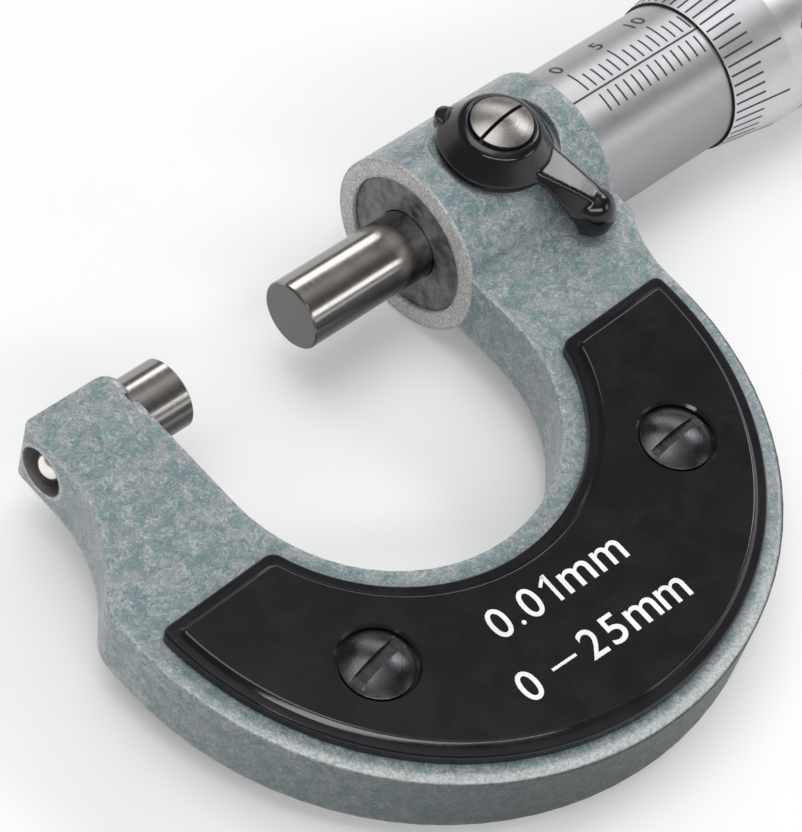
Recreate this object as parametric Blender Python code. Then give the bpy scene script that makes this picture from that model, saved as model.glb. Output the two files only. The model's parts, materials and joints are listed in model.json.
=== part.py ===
"""Outside micrometer, 0 to 25 mm, with a cast C frame, a lever lock and a ratchet stop.

The micrometer lies on its back on a bench. Its own axes are X along the spindle, from the anvil
to the ratchet, Y up the frame and Z out of the front plate. The empty measuring_axes holds them
and turns them about X by the small angle at which the micrometer rests on its thimble and on the
edge of its back plate. The origin is the centre of the anvil's measuring face.
All sizes are in millimetres, and MM turns them into Blender's metres.
"""

from math import asin, atan2, cos, hypot, pi, radians, sin, sqrt

import bmesh
import bpy
from mathutils import Matrix, Vector

MM = 0.001

# Measuring range, and the gap at which the micrometer is shown
CAPACITY = 25.0
READING = 13.4

# Fits: parts that slide or turn, parts that are pressed or screwed, faces that rest together
RUNNING_FIT = 0.08
PRESS_FIT = 0.06
SEAT_GAP = 0.1
TURNING_GAP = 0.3
# How far a cutting shape reaches past the face that it cuts
CUT_MARGIN = 1.0

# Cast frame
FRAME_THICKNESS = 6.4
THROAT_RADIUS = 15.5
THROAT_DROP = 12.6
RIM_RADIUS = 30.3
RIM_DROP = 18.0
EDGE_ROUND = 0.6
ANVIL_ARM_WIDTH = 9.1
ANVIL_ARM_TOP = 3.0
ARM_INNER_ROUND = 1.4
ARM_OUTER_ROUND = 0.9
SHOULDER_TOP = 2.5
SHOULDER_END = 16.0
SHOULDER_ROUND = 4.0
HEEL_TOP = 9.2
HEEL_END = 17.0
HEEL_ROUND = 2.0
BOSS_RADIUS = 8.2
BOSS_LENGTH = 17.2
BOSS_FILLET = 0.8
BOSS_BORE = 6.5

# Anvil
ANVIL_REACH = 4.4
ANVIL_SEAT = 0.5
ANVIL_SHANK = 2.2
ANVIL_RECESS = 0.4
MEASURING_RADIUS = 3.175
FACE_CHAMFER = 0.2

# Insulating plates and their screws
PLATE_THICKNESS = 1.1
PLATE_TOP = 17.6
PLATE_INNER_BAND = 1.95
PLATE_OUTER_BAND = 1.7
PLATE_CORNER = 0.8
PLATE_TURN = 1.9
PLATE_MARGIN = 1.0
PLATE_CROWN = 0.25
PLATE_EDGE_ROUND = 0.25
PLATE_SCREW_SPREAD = 17.37
PLATE_SCREW_DROP = 30.3
PLATE_SCREW_HEAD = 3.1
PLATE_SCREW_SHANK = 1.25
PLATE_SCREW_LENGTH = 2.4
PLATE_SCREW_DOME = 0.85
PLATE_SCREW_SINK = 0.6
SLOT_WIDTH = 0.75
SLOT_DEPTH = 0.9
LEFT_SLOT_TURN = 9.0
RIGHT_SLOT_TURN = 3.0

# Sleeves and adjusting nut
SLEEVE_RADIUS = 7.1
SLEEVE_WALL = 1.1
ZERO_OFFSET = 3.1
SLEEVE_TAIL = 2.6
GUIDE_RECESS = 0.3
NUT_THREAD_RADIUS = 4.9
NUT_STICKOUT = 5.0
SLIT_WIDTH = 0.8
SLIT_LENGTH = 8.6
SLIT_COUNT = 3
ADJUSTING_NUT_RADIUS = 6.3
ADJUSTING_NUT_LENGTH = 3.2
SPANNER_NOTCH = 1.2

# Spindle
PLAIN_LENGTH = 43.5
THREAD_RADIUS = 3.0
TAPER_LENGTH = 6.6
TAPER_END_RADIUS = 2.3
TAIL_HOLE_RADIUS = 1.5
TAIL_HOLE_DEPTH = 7.0

# Thimble
LIP_RADIUS = 7.5
THIMBLE_RADIUS = 8.45
BEVEL_LENGTH = 6.6
THIMBLE_END_WALL = 8.0
THIMBLE_CHAMFER = 0.6
CAVITY_CLEARANCE = 1.0
GRIP_START = 17.0
GRIP_END_MARGIN = 5.0
GRIP_GROOVE_WIDTH = 0.8
GRIP_GROOVE_DEPTH = 0.35

# Ratchet stop
STEM_FLANGE_RADIUS = 4.9
STEM_FLANGE_THICKNESS = 1.6
STEM_SHANK_LENGTH = 6.3
STEM_SHAFT_RADIUS = 1.8
TOOTH_COUNT = 16
TOOTH_HEIGHT = 0.6
TOOTH_RING_WIDTH = 1.5
CLUTCH_THICKNESS = 1.4
CLUTCH_KEY_WIDTH = 1.6
CLUTCH_KEY_HEIGHT = 0.5
SPRING_ROOM = 6.8
SPRING_WIRE = 0.35
SPRING_COIL = 3.0
SPRING_TURNS = 4
KNOB_RADIUS = 6.2
KNOB_END_WALL = 3.6
KNOB_LIP = 1.2
FLUTE_DEPTH = 0.3
FLUTE_COUNT = 20
END_SCREW_HEAD = 3.0
END_SCREW_SHANK = 0.85
END_SCREW_LENGTH = 4.0
END_SCREW_HEIGHT = 1.2

# Lock lever, stud, screw and shoe
LOCK_STUD_RADIUS = 1.85
LOCK_SPOT_RADIUS = 3.6
LOCK_SPOT_DEPTH = 0.3
LOCK_WASHER_RADIUS = 3.3
LOCK_WASHER_THICKNESS = 0.35
LOCK_SHOE_HEIGHT = 1.4
HUB_RADIUS = 5.25
HUB_SKIRT = 0.4
HUB_TOP_RADIUS = 3.3
HUB_HEIGHT = 2.1
HUB_SINK = 0.4
LOCK_HEAD_RADIUS = 2.75
LOCK_HEAD_RIM = 0.55
LOCK_HEAD_DOME = 0.6
LOCK_SCREW_SHANK = 0.95
LOCK_SLOT_TURN = 7.0
LEVER_REACH = 11.7
LEVER_WIDTH = 4.4
LEVER_CREST = 1.7
LEVER_TAIL = 5.8
LEVER_TAIL_WIDTH = 2.0
LEVER_TURN = 25.0
LEVER_SWING = 50.0
LEVER_OVERTRAVEL = 3.0

# Facets around a full turn
FINE_STEPS = 52
ROUND_STEPS = 40
SMALL_STEPS = 24

# Places that follow from the sizes above, along X unless a name says otherwise
THROAT_X = THROAT_RADIUS - ANVIL_REACH
BOSS_FRONT = THROAT_X + THROAT_RADIUS
BOSS_BACK = BOSS_FRONT + BOSS_LENGTH
LOCK_X = BOSS_FRONT + BOSS_LENGTH / 2
ZERO_X = BOSS_BACK + ZERO_OFFSET
SLEEVE_END = ZERO_X + CAPACITY + SLEEVE_TAIL
NUT_END = SLEEVE_END + NUT_STICKOUT
THIMBLE_EDGE = ZERO_X + READING
CAVITY_END = THIMBLE_EDGE + NUT_END - ZERO_X + CAVITY_CLEARANCE
THIMBLE_END = CAVITY_END + THIMBLE_END_WALL
FRONT_FACE = FRAME_THICKNESS / 2
PLATE_FOOT = FRONT_FACE + SEAT_GAP
PLATE_FACE = PLATE_FOOT + PLATE_THICKNESS + PLATE_CROWN
SLEEVE_BORE = SLEEVE_RADIUS - SLEEVE_WALL
GUIDE_BORE = MEASURING_RADIUS + RUNNING_FIT
FLANGE_FACE = THIMBLE_END + SEAT_GAP + STEM_FLANGE_THICKNESS
CLUTCH_FACE = FLANGE_FACE + 2 * TOOTH_HEIGHT + SEAT_GAP
SPRING_SEAT = CLUTCH_FACE + CLUTCH_THICKNESS
KNOB_FLOOR = SPRING_SEAT + SPRING_ROOM
KNOB_END = KNOB_FLOOR + KNOB_END_WALL
END_SCREW_SEAT = KNOB_END - END_SCREW_HEIGHT
KNOB_BORE = STEM_FLANGE_RADIUS + RUNNING_FIT * 2
SPOT_Z = BOSS_RADIUS - LOCK_SPOT_DEPTH
WASHER_Z = SPOT_Z + SEAT_GAP
HUB_FOOT = WASHER_Z + LOCK_WASHER_THICKNESS + SEAT_GAP
HUB_CREST = HUB_FOOT + HUB_HEIGHT
HEAD_SEAT = HUB_CREST - HUB_SINK
LEVER_FLOOR = FRONT_FACE + TURNING_GAP + SEAT_GAP


def clear_scene():
    """Remove every object of the open file."""
    for item in list(bpy.data.objects):
        bpy.data.objects.remove(item, do_unlink=True)


def make_material(name, colour, roughness, metallic):
    """Return a Principled material with one colour."""
    material = bpy.data.materials.new(name)
    material.use_nodes = True
    shader = material.node_tree.nodes["Principled BSDF"]
    shader.inputs["Base Color"].default_value = (*colour, 1.0)
    shader.inputs["Roughness"].default_value = roughness
    shader.inputs["Metallic"].default_value = metallic
    material.diffuse_color = (*colour, 1.0)
    return material


def add_empty(name, parent, location=(0, 0, 0)):
    """Add an empty that carries a group of parts."""
    empty = bpy.data.objects.new(name, None)
    bpy.context.collection.objects.link(empty)
    empty.parent = parent
    empty.location = Vector(location) * MM
    return empty


def add_solid(name, shape, parent, material):
    """Turn a mesh in millimetres into a named, smooth shaded object."""
    bmesh.ops.recalc_face_normals(shape, faces=shape.faces)
    bmesh.ops.scale(shape, vec=(MM, MM, MM), verts=shape.verts)
    mesh = bpy.data.meshes.new(name)
    shape.to_mesh(mesh)
    shape.free()
    mesh.materials.append(material)
    mesh.shade_smooth()
    mesh.set_sharp_from_angle(angle=radians(30))
    item = bpy.data.objects.new(name, mesh)
    bpy.context.collection.objects.link(item)
    item.parent = parent
    return item


def combine(target, name, shape, operation="DIFFERENCE"):
    """Cut a shape out of an object, or join it on, with an exact Boolean."""
    tool = add_solid(f"{target.name}_{name}", shape, target.parent, target.data.materials[0])
    tool.hide_render = True
    tool.display_type = "WIRE"
    modifier = target.modifiers.new(name, "BOOLEAN")
    modifier.operation = operation
    modifier.solver = "EXACT"
    modifier.object = tool


def joined(shapes):
    """Join shapes that don't touch into one cutting tool."""
    result = shapes[0]
    for shape in shapes[1:]:
        mesh = bpy.data.meshes.new("joined")
        shape.to_mesh(mesh)
        shape.free()
        result.from_mesh(mesh)
        bpy.data.meshes.remove(mesh)
    return result


def round_edges(target, width, segments=2, angle=40):
    """Round the sharp edges of an object."""
    modifier = target.modifiers.new("round_edges", "BEVEL")
    modifier.width = width * MM
    modifier.segments = segments
    modifier.limit_method = "ANGLE"
    modifier.angle_limit = radians(angle)


def split_wide_faces(target):
    """Split wide faces into triangles, so that a hole cuts only the ones that it meets."""
    modifier = target.modifiers.new("split_faces", "TRIANGULATE")
    modifier.min_vertices = 5


def turned(outline, steps, upright=False):
    """Spin an outline of (place, radius) points about X, or about Z if upright.

    An outline that starts on the axis is a solid piece. Any other is closed into a hollow one.
    """
    shape = bmesh.new()
    if upright:
        points = [shape.verts.new((radius, 0, place)) for place, radius in outline]
    else:
        points = [shape.verts.new((place, radius, 0)) for place, radius in outline]
    edges = [shape.edges.new(pair) for pair in zip(points, points[1:])]
    if outline[0][1] > 0:
        edges.append(shape.edges.new((points[-1], points[0])))
    axis = (0, 0, 1) if upright else (1, 0, 0)
    bmesh.ops.spin(shape, geom=points + edges, cent=(0, 0, 0), axis=axis,
                   angle=2 * pi, steps=steps, use_merge=True)
    bmesh.ops.remove_doubles(shape, verts=shape.verts, dist=1e-4)
    return shape


def stepped(cuts):
    """Return the outline of a stepped drill from its (start, end, radius) cuts."""
    points = [(cuts[0][0], 0)]
    for start, end, radius in cuts:
        points += [(start, radius), (end, radius)]
    return points + [(cuts[-1][1], 0)]


def drill(cuts, x=0.0, y=0.0, steps=SMALL_STEPS):
    """Return a stepped cylinder along Z."""
    shape = turned(stepped(cuts), steps, upright=True)
    bmesh.ops.translate(shape, vec=(x, y, 0), verts=shape.verts)
    return shape


def block(size, centre, turn=0.0, axis="Z"):
    """Return a box, turned about one axis through the origin in degrees."""
    shape = bmesh.new()
    placed = Matrix.Rotation(radians(turn), 4, axis) @ Matrix.Translation(centre)
    bmesh.ops.create_cube(shape, size=1, matrix=placed @ Matrix.Diagonal((*size, 1)))
    return shape


def extruded(outline, low, high, axis="Z"):
    """Extrude a flat outline from low to high along Z, or along X with the outline in Y and Z."""
    shape = bmesh.new()
    if axis == "Z":
        points = [shape.verts.new((a, b, low)) for a, b in outline]
        travel = (0, 0, high - low)
    else:
        points = [shape.verts.new((low, a, b)) for a, b in outline]
        travel = (high - low, 0, 0)
    face = shape.faces.new(points)
    grown = bmesh.ops.extrude_face_region(shape, geom=[face])
    moved = [item for item in grown["geom"] if isinstance(item, bmesh.types.BMVert)]
    bmesh.ops.translate(shape, vec=travel, verts=moved)
    bmesh.ops.recalc_face_normals(shape, faces=shape.faces)
    return shape


def lofted(sections):
    """Join sections with equal numbers of points into one body, closed at both ends."""
    shape = bmesh.new()
    loops = [[shape.verts.new(point) for point in section] for section in sections]
    for loop, following in zip(loops, loops[1:]):
        for index in range(len(loop)):
            beside = (index + 1) % len(loop)
            shape.faces.new((loop[index], loop[beside], following[beside], following[index]))
    shape.faces.new(loops[0])
    shape.faces.new(loops[-1])
    return shape


def arc(centre, radius, start, end, steps):
    """Return points along an arc, with its angles in radians."""
    turns = [start + (end - start) * step / steps for step in range(steps + 1)]
    return [(centre[0] + radius * cos(turn), centre[1] + radius * sin(turn)) for turn in turns]


def s_bend(start, end, start_radius=0.0, end_radius=0.0, steps=6):
    """Return two tangent arcs between two upright edges, with the radius of one of them given."""
    across = end[0] - start[0]
    down = start[1] - end[1]
    turn = 2 * atan2(abs(across), down)
    both = down / sin(turn)
    start_radius = start_radius or both - end_radius
    end_radius = both - start_radius
    side = 1 if across > 0 else -1
    points = []
    for step in range(steps + 1):
        angle = turn * step / steps
        points.append((start[0] + side * start_radius * (1 - cos(angle)),
                       start[1] - start_radius * sin(angle)))
    for step in range(1, steps + 1):
        angle = turn * (1 - step / steps)
        points.append((end[0] - side * end_radius * (1 - cos(angle)),
                       end[1] + end_radius * sin(angle)))
    return points


def rounded_corner(before, corner, after, radius, steps=4):
    """Return the points of a fillet at one corner of an outline."""
    corner = Vector(corner)
    into = (Vector(before) - corner).normalized()
    out = (Vector(after) - corner).normalized()
    half = into.angle(out) / 2
    centre = corner + (into + out).normalized() * radius / sin(half)
    start = corner + into * radius * cos(half) / sin(half) - centre
    end = corner + out * radius * cos(half) / sin(half) - centre
    # slerp turns from one direction to the other, and its result is one long
    return [tuple(centre + radius * start.slerp(end, step / steps)) for step in range(steps + 1)]


def frame_outline():
    """Return the outline of the cast frame, seen from the front."""
    left = THROAT_X - THROAT_RADIUS
    arm_end = left - ANVIL_ARM_WIDTH
    top = ANVIL_ARM_TOP
    inner_corner = rounded_corner((left, -1), (left, top), (arm_end, top), ARM_INNER_ROUND)
    outer_corner = rounded_corner((left, top), (arm_end, top), (arm_end, -1), ARM_OUTER_ROUND)
    shoulder = s_bend((arm_end, -SHOULDER_TOP), (THROAT_X - RIM_RADIUS, -SHOULDER_END),
                      end_radius=SHOULDER_ROUND)
    rim = arc((THROAT_X, -RIM_DROP), RIM_RADIUS, pi, 2 * pi, 40)
    heel = s_bend((BOSS_BACK, -HEEL_TOP), (THROAT_X + RIM_RADIUS, -HEEL_END),
                  start_radius=HEEL_ROUND)
    web_top = -(BOSS_BORE + BOSS_RADIUS) / 2
    web = [(BOSS_BACK, web_top), (BOSS_FRONT, web_top)]
    throat = arc((THROAT_X, -THROAT_DROP), THROAT_RADIUS, 0, -pi, 28)
    return inner_corner + outer_corner + shoulder + rim + heel[::-1] + web + throat


def boss_outline():
    """Return the section of the boss, a circle that runs into the web through two fillets."""
    centre_z = FRONT_FACE + BOSS_FILLET
    centre_y = -sqrt((BOSS_RADIUS + BOSS_FILLET) ** 2 - centre_z ** 2)
    lean = atan2(centre_z, centre_y)
    ring = arc((0, 0), BOSS_RADIUS, lean, -lean, 40)
    fillet = arc((centre_y, -centre_z), BOSS_FILLET, pi - lean, pi / 2, 4)[1:]
    foot = centre_y - SEAT_GAP
    mirrored = [(y, -z) for y, z in fillet[::-1]]
    return ring + fillet + [(foot, -FRONT_FACE), (foot, FRONT_FACE)] + mirrored


def plate_screw_place(side):
    """Return where a plate's screw stands from the middle of the throat, with the plate's turn."""
    x, y = side * PLATE_SCREW_SPREAD, THROAT_DROP - PLATE_SCREW_DROP
    turn = radians(PLATE_TURN)
    return x * cos(turn) - y * sin(turn), x * sin(turn) + y * cos(turn)


def make_frame(parent, paint):
    """Cast frame: web and rim, boss for the sleeves, and the holes that carry the other parts."""
    frame = add_solid("frame", extruded(frame_outline(), -FRONT_FACE, FRONT_FACE), parent, paint)
    combine(frame, "boss", extruded(boss_outline(), BOSS_FRONT, BOSS_BACK, "X"), "UNION")
    round_edges(frame, EDGE_ROUND)
    split_wide_faces(frame)
    arm_end = -ANVIL_REACH - ANVIL_ARM_WIDTH
    seat = -ANVIL_REACH - ANVIL_SEAT
    holes = [turned(stepped([(BOSS_FRONT - CUT_MARGIN, BOSS_BACK + CUT_MARGIN, BOSS_BORE)]), FINE_STEPS),
             turned(stepped([(arm_end - CUT_MARGIN, seat, ANVIL_SHANK + PRESS_FIT),
                             (seat, CUT_MARGIN, MEASURING_RADIUS + PRESS_FIT)]), ROUND_STEPS)]
    bottom = PLATE_FOOT - PLATE_SCREW_LENGTH - TURNING_GAP
    for side in (-1, 1):
        for face in (-1, 1):
            x, y = plate_screw_place(side)
            depth = sorted((face * bottom, face * FRAME_THICKNESS))
            holes.append(drill([(*depth, PLATE_SCREW_SHANK + RUNNING_FIT)],
                               THROAT_X + face * x, y - THROAT_DROP))
    combine(frame, "bores", joined(holes))
    lock_hole = drill([(MEASURING_RADIUS, SPOT_Z, LOCK_STUD_RADIUS + RUNNING_FIT),
                       (SPOT_Z, BOSS_RADIUS + CUT_MARGIN, LOCK_SPOT_RADIUS)], LOCK_X, 0, 32)
    combine(frame, "lock_hole", lock_hole)


def make_anvil(parent, steel):
    """Anvil: a ground head with a thinner shank that is pressed through the arm."""
    seat = -ANVIL_REACH - ANVIL_SEAT + SEAT_GAP
    tail = -ANVIL_REACH - ANVIL_ARM_WIDTH + ANVIL_RECESS
    edge = MEASURING_RADIUS - FACE_CHAMFER
    outline = [(0, 0), (0, edge), (-FACE_CHAMFER, MEASURING_RADIUS), (seat, MEASURING_RADIUS),
               (seat, ANVIL_SHANK), (tail + FACE_CHAMFER, ANVIL_SHANK),
               (tail, ANVIL_SHANK - FACE_CHAMFER), (tail, 0)]
    add_solid("anvil", turned(outline, ROUND_STEPS), parent, steel)


def plate_outline(inset):
    """Return the outline of an insulating plate, a band that follows throat and rim.

    It is drawn from the middle of the throat's arc, before the plate's turn.
    """
    inner = THROAT_RADIUS + PLATE_INNER_BAND + inset
    outer = RIM_RADIUS - PLATE_OUTER_BAND - inset
    top = PLATE_TOP + inset
    rise = asin((RIM_DROP - top) / outer)
    dip = asin((top - THROAT_DROP) / inner)
    rim = arc((0, THROAT_DROP - RIM_DROP), outer, pi - rise, 2 * pi + rise, 26)
    throat = arc((0, 0), inner, -dip, dip - pi, 18)
    outline = rim + throat
    corners = (0, len(rim) - 1, len(rim), len(outline) - 1)
    points = []
    for index, point in enumerate(outline):
        if index in corners:
            after = outline[(index + 1) % len(outline)]
            radius = max(PLATE_CORNER - inset, PLATE_CORNER / 4)
            points += rounded_corner(outline[index - 1], point, after, radius)
        else:
            points.append(point)
    return points


def make_plate(name, parent, plastic):
    """Insulating plate with a crowned face and a counterbore for each of its screws."""
    edge = PLATE_FOOT + PLATE_THICKNESS - PLATE_EDGE_ROUND
    near, far = PLATE_EDGE_ROUND * (1 - cos(pi / 4)), PLATE_EDGE_ROUND * sin(pi / 4)
    # Each level: how far the outline has moved inward, and its height
    levels = [(0, PLATE_FOOT), (0, edge), (near, edge + far),
              (PLATE_EDGE_ROUND, edge + PLATE_EDGE_ROUND),
              (PLATE_EDGE_ROUND + PLATE_MARGIN, PLATE_FACE)]
    shape = lofted([[(x, y, z) for x, y in plate_outline(inset)] for inset, z in levels])
    plate = add_solid(name, shape, parent, plastic)
    split_wide_faces(plate)
    seat = PLATE_FACE - PLATE_SCREW_SINK
    cuts = [(0, seat, PLATE_SCREW_SHANK + TURNING_GAP),
            (seat, PLATE_FACE + CUT_MARGIN, PLATE_SCREW_HEAD + TURNING_GAP)]
    holes = [drill(cuts, side * PLATE_SCREW_SPREAD, THROAT_DROP - PLATE_SCREW_DROP)
             for side in (-1, 1)]
    combine(plate, "screw_holes", joined(holes))


def domed(radius, height, base, rings=4):
    """Return the outline of a dome from its rim to its top, as (place, radius) points."""
    curve = (radius ** 2 + height ** 2) / (2 * height)
    half = asin(radius / curve)
    turns = [half * (1 - ring / rings) for ring in range(rings + 1)]
    return [(base + height - curve * (1 - cos(turn)), curve * sin(turn)) for turn in turns]


def plate_screw_shape():
    """Return a pan head screw that stands in the plate's counterbore."""
    seat = PLATE_FACE - PLATE_SCREW_SINK + SEAT_GAP
    tip = PLATE_FOOT - PLATE_SCREW_LENGTH
    head = domed(PLATE_SCREW_HEAD, PLATE_SCREW_DOME, seat + PLATE_SCREW_SINK / 2)
    outline = [(tip, 0), (tip, PLATE_SCREW_SHANK), (seat, PLATE_SCREW_SHANK),
               (seat, PLATE_SCREW_HEAD)] + head
    return turned(outline, SMALL_STEPS, upright=True)


def make_plate_screws(parent, side_name, steel):
    """Two slotted screws that hold one plate."""
    crest = PLATE_FACE - PLATE_SCREW_SINK / 2 + SEAT_GAP + PLATE_SCREW_DOME
    for side, name, turn in ((-1, "left", LEFT_SLOT_TURN), (1, "right", RIGHT_SLOT_TURN)):
        place = add_empty(f"{side_name}_{name}_screw_axis", parent,
                          (side * PLATE_SCREW_SPREAD, THROAT_DROP - PLATE_SCREW_DROP, 0))
        screw = add_solid(f"{side_name}_plate_screw_{name}", plate_screw_shape(), place, steel)
        slot = block((3 * PLATE_SCREW_HEAD, SLOT_WIDTH, 2 * SLOT_DEPTH), (0, 0, crest), turn)
        combine(screw, "slot", slot)


def make_inner_sleeve(parent, steel):
    """Inner sleeve: spindle guide in the boss, and the split, threaded nut at its end."""
    front = BOSS_FRONT + GUIDE_RECESS
    guide_end = ZERO_X + CAPACITY - ZERO_OFFSET + SLEEVE_TAIL
    guide = BOSS_BORE - PRESS_FIT
    middle = SLEEVE_BORE - PRESS_FIT
    nut_bore = THREAD_RADIUS + RUNNING_FIT
    split = NUT_END - SLIT_LENGTH
    outline = [(front, guide), (BOSS_BACK - SEAT_GAP, guide), (BOSS_BACK - SEAT_GAP, middle),
               (split - SLIT_WIDTH, middle), (split, NUT_THREAD_RADIUS),
               (NUT_END, NUT_THREAD_RADIUS), (NUT_END, nut_bore), (guide_end, nut_bore),
               (guide_end, GUIDE_BORE), (front, GUIDE_BORE)]
    sleeve = add_solid("inner_sleeve", turned(outline, ROUND_STEPS), parent, steel)
    cuts = [drill([(0, BOSS_RADIUS, LOCK_STUD_RADIUS + RUNNING_FIT)], LOCK_X)]
    reach = NUT_THREAD_RADIUS + 1
    for index in range(SLIT_COUNT):
        cuts.append(block((SLIT_LENGTH + CUT_MARGIN, reach - CUT_MARGIN, SLIT_WIDTH),
                          (NUT_END - SLIT_LENGTH / 2 + 0.5, reach / 2 + 0.5, 0),
                          index * 360 / SLIT_COUNT, "X"))
    combine(sleeve, "hole_and_slits", joined(cuts))


def make_sleeve(parent, chrome):
    """Graduated sleeve that slides over the inner sleeve and butts on the boss."""
    start = BOSS_BACK + SEAT_GAP
    inner = SLEEVE_RADIUS - FACE_CHAMFER
    outline = [(start, inner), (start + FACE_CHAMFER, SLEEVE_RADIUS),
               (SLEEVE_END - FACE_CHAMFER, SLEEVE_RADIUS), (SLEEVE_END, inner),
               (SLEEVE_END, SLEEVE_BORE), (start, SLEEVE_BORE)]
    add_solid("graduated_sleeve", turned(outline, FINE_STEPS), parent, chrome)


def make_adjusting_nut(parent, steel):
    """Adjusting nut on the split end of the inner sleeve, with two spanner notches."""
    start = NUT_END - (NUT_STICKOUT + ADJUSTING_NUT_LENGTH) / 2
    end = start + ADJUSTING_NUT_LENGTH
    inner = NUT_THREAD_RADIUS + PRESS_FIT
    edge = ADJUSTING_NUT_RADIUS - FACE_CHAMFER
    outline = [(start, inner), (start, edge), (start + FACE_CHAMFER, ADJUSTING_NUT_RADIUS),
               (end - FACE_CHAMFER, ADJUSTING_NUT_RADIUS), (end, edge), (end, inner)]
    nut = add_solid("adjusting_nut", turned(outline, ROUND_STEPS), parent, steel)
    notch = block((2 * SPANNER_NOTCH, 3 * ADJUSTING_NUT_RADIUS, SPANNER_NOTCH), (end, 0, 0))
    combine(nut, "spanner_notch", notch)


def taper_radius(x):
    """Return the radius of the spindle's seating taper at a place along it."""
    start = CAVITY_END + SEAT_GAP
    return THREAD_RADIUS - (THREAD_RADIUS - TAPER_END_RADIUS) * (x - start) / TAPER_LENGTH


def make_spindle(parent, steel):
    """Spindle: ground measuring end, threaded length and the taper that holds the thimble."""
    edge = MEASURING_RADIUS - FACE_CHAMFER
    plain_end = READING + PLAIN_LENGTH
    taper_start = CAVITY_END + SEAT_GAP
    taper_end = taper_start + TAPER_LENGTH
    hole = taper_end - TAIL_HOLE_DEPTH
    outline = [(READING, 0), (READING, edge), (READING + FACE_CHAMFER, MEASURING_RADIUS),
               (plain_end, MEASURING_RADIUS), (plain_end + FACE_CHAMFER, THREAD_RADIUS),
               (taper_start, THREAD_RADIUS), (taper_end, TAPER_END_RADIUS),
               (taper_end, TAIL_HOLE_RADIUS), (hole, TAIL_HOLE_RADIUS), (hole, 0)]
    add_solid("spindle", turned(outline, ROUND_STEPS), parent, steel)


def make_thimble(parent, chrome):
    """Thimble: graduated bevel, gripping band between two grooves, and the bore for the taper."""
    grip_start = THIMBLE_EDGE + GRIP_START
    grip_end = THIMBLE_END - GRIP_END_MARGIN
    groove = THIMBLE_RADIUS - GRIP_GROOVE_DEPTH
    bore_end = taper_radius(THIMBLE_END) + PRESS_FIT
    outline = [(THIMBLE_EDGE, LIP_RADIUS), (THIMBLE_EDGE + BEVEL_LENGTH, THIMBLE_RADIUS)]
    for start in (grip_start, grip_end):
        outline += [(start, THIMBLE_RADIUS), (start, groove),
                    (start + GRIP_GROOVE_WIDTH, groove), (start + GRIP_GROOVE_WIDTH, THIMBLE_RADIUS)]
    outline += [(THIMBLE_END - THIMBLE_CHAMFER, THIMBLE_RADIUS),
                (THIMBLE_END, THIMBLE_RADIUS - THIMBLE_CHAMFER), (THIMBLE_END, bore_end),
                (CAVITY_END, taper_radius(CAVITY_END) + PRESS_FIT),
                (CAVITY_END, SLEEVE_RADIUS + RUNNING_FIT),
                (THIMBLE_EDGE, SLEEVE_RADIUS + RUNNING_FIT)]
    add_solid("thimble", turned(outline, FINE_STEPS), parent, chrome)


def crown_teeth(base, facing):
    """Return a ring of saw teeth that stand out of a face, toward +X or -X."""
    shape = bmesh.new()
    outer = STEM_FLANGE_RADIUS - SEAT_GAP
    radii = (outer - TOOTH_RING_WIDTH, outer)
    root = base - facing * TOOTH_HEIGHT / 2
    heights = {"root": root, "low": base, "high": base + facing * TOOTH_HEIGHT}
    grid = {}
    for tooth in range(TOOTH_COUNT):
        turn = 2 * pi * tooth / TOOTH_COUNT
        for side, radius in enumerate(radii):
            for level, x in heights.items():
                point = (x, radius * cos(turn), facing * radius * sin(turn))
                grid[tooth, side, level] = shape.verts.new(point)
    for tooth in range(TOOTH_COUNT):
        after = (tooth + 1) % TOOTH_COUNT
        ramp = [grid[tooth, 0, "high"], grid[tooth, 1, "high"],
                grid[after, 1, "low"], grid[after, 0, "low"]]
        step = [grid[tooth, 0, "low"], grid[tooth, 1, "low"],
                grid[tooth, 1, "high"], grid[tooth, 0, "high"]]
        floor = [grid[tooth, 0, "root"], grid[tooth, 1, "root"],
                 grid[after, 1, "root"], grid[after, 0, "root"]]
        shape.faces.new(ramp)
        shape.faces.new(step)
        shape.faces.new(floor)
        for side in (0, 1):
            shape.faces.new([grid[tooth, side, "root"], grid[tooth, side, "low"],
                             grid[tooth, side, "high"], grid[after, side, "low"],
                             grid[after, side, "root"]])
    return shape


def make_ratchet_stem(parent, steel):
    """Stem: screws into the spindle's tail, clamps the thimble and carries the fixed teeth."""
    seat = THIMBLE_END + SEAT_GAP
    tip = THIMBLE_END - STEM_SHANK_LENGTH
    shank = TAIL_HOLE_RADIUS - RUNNING_FIT
    end = END_SCREW_SEAT - SEAT_GAP
    hole_end = end - END_SCREW_LENGTH - SEAT_GAP
    hole = END_SCREW_SHANK + RUNNING_FIT
    outline = [(tip, 0), (tip, shank), (seat, shank), (seat, STEM_FLANGE_RADIUS),
               (FLANGE_FACE, STEM_FLANGE_RADIUS), (FLANGE_FACE, STEM_SHAFT_RADIUS),
               (end, STEM_SHAFT_RADIUS), (end, hole), (hole_end, hole), (hole_end, 0)]
    stem = add_solid("ratchet_stem", turned(outline, 32), parent, steel)
    combine(stem, "teeth", crown_teeth(FLANGE_FACE, 1), "UNION")


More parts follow.
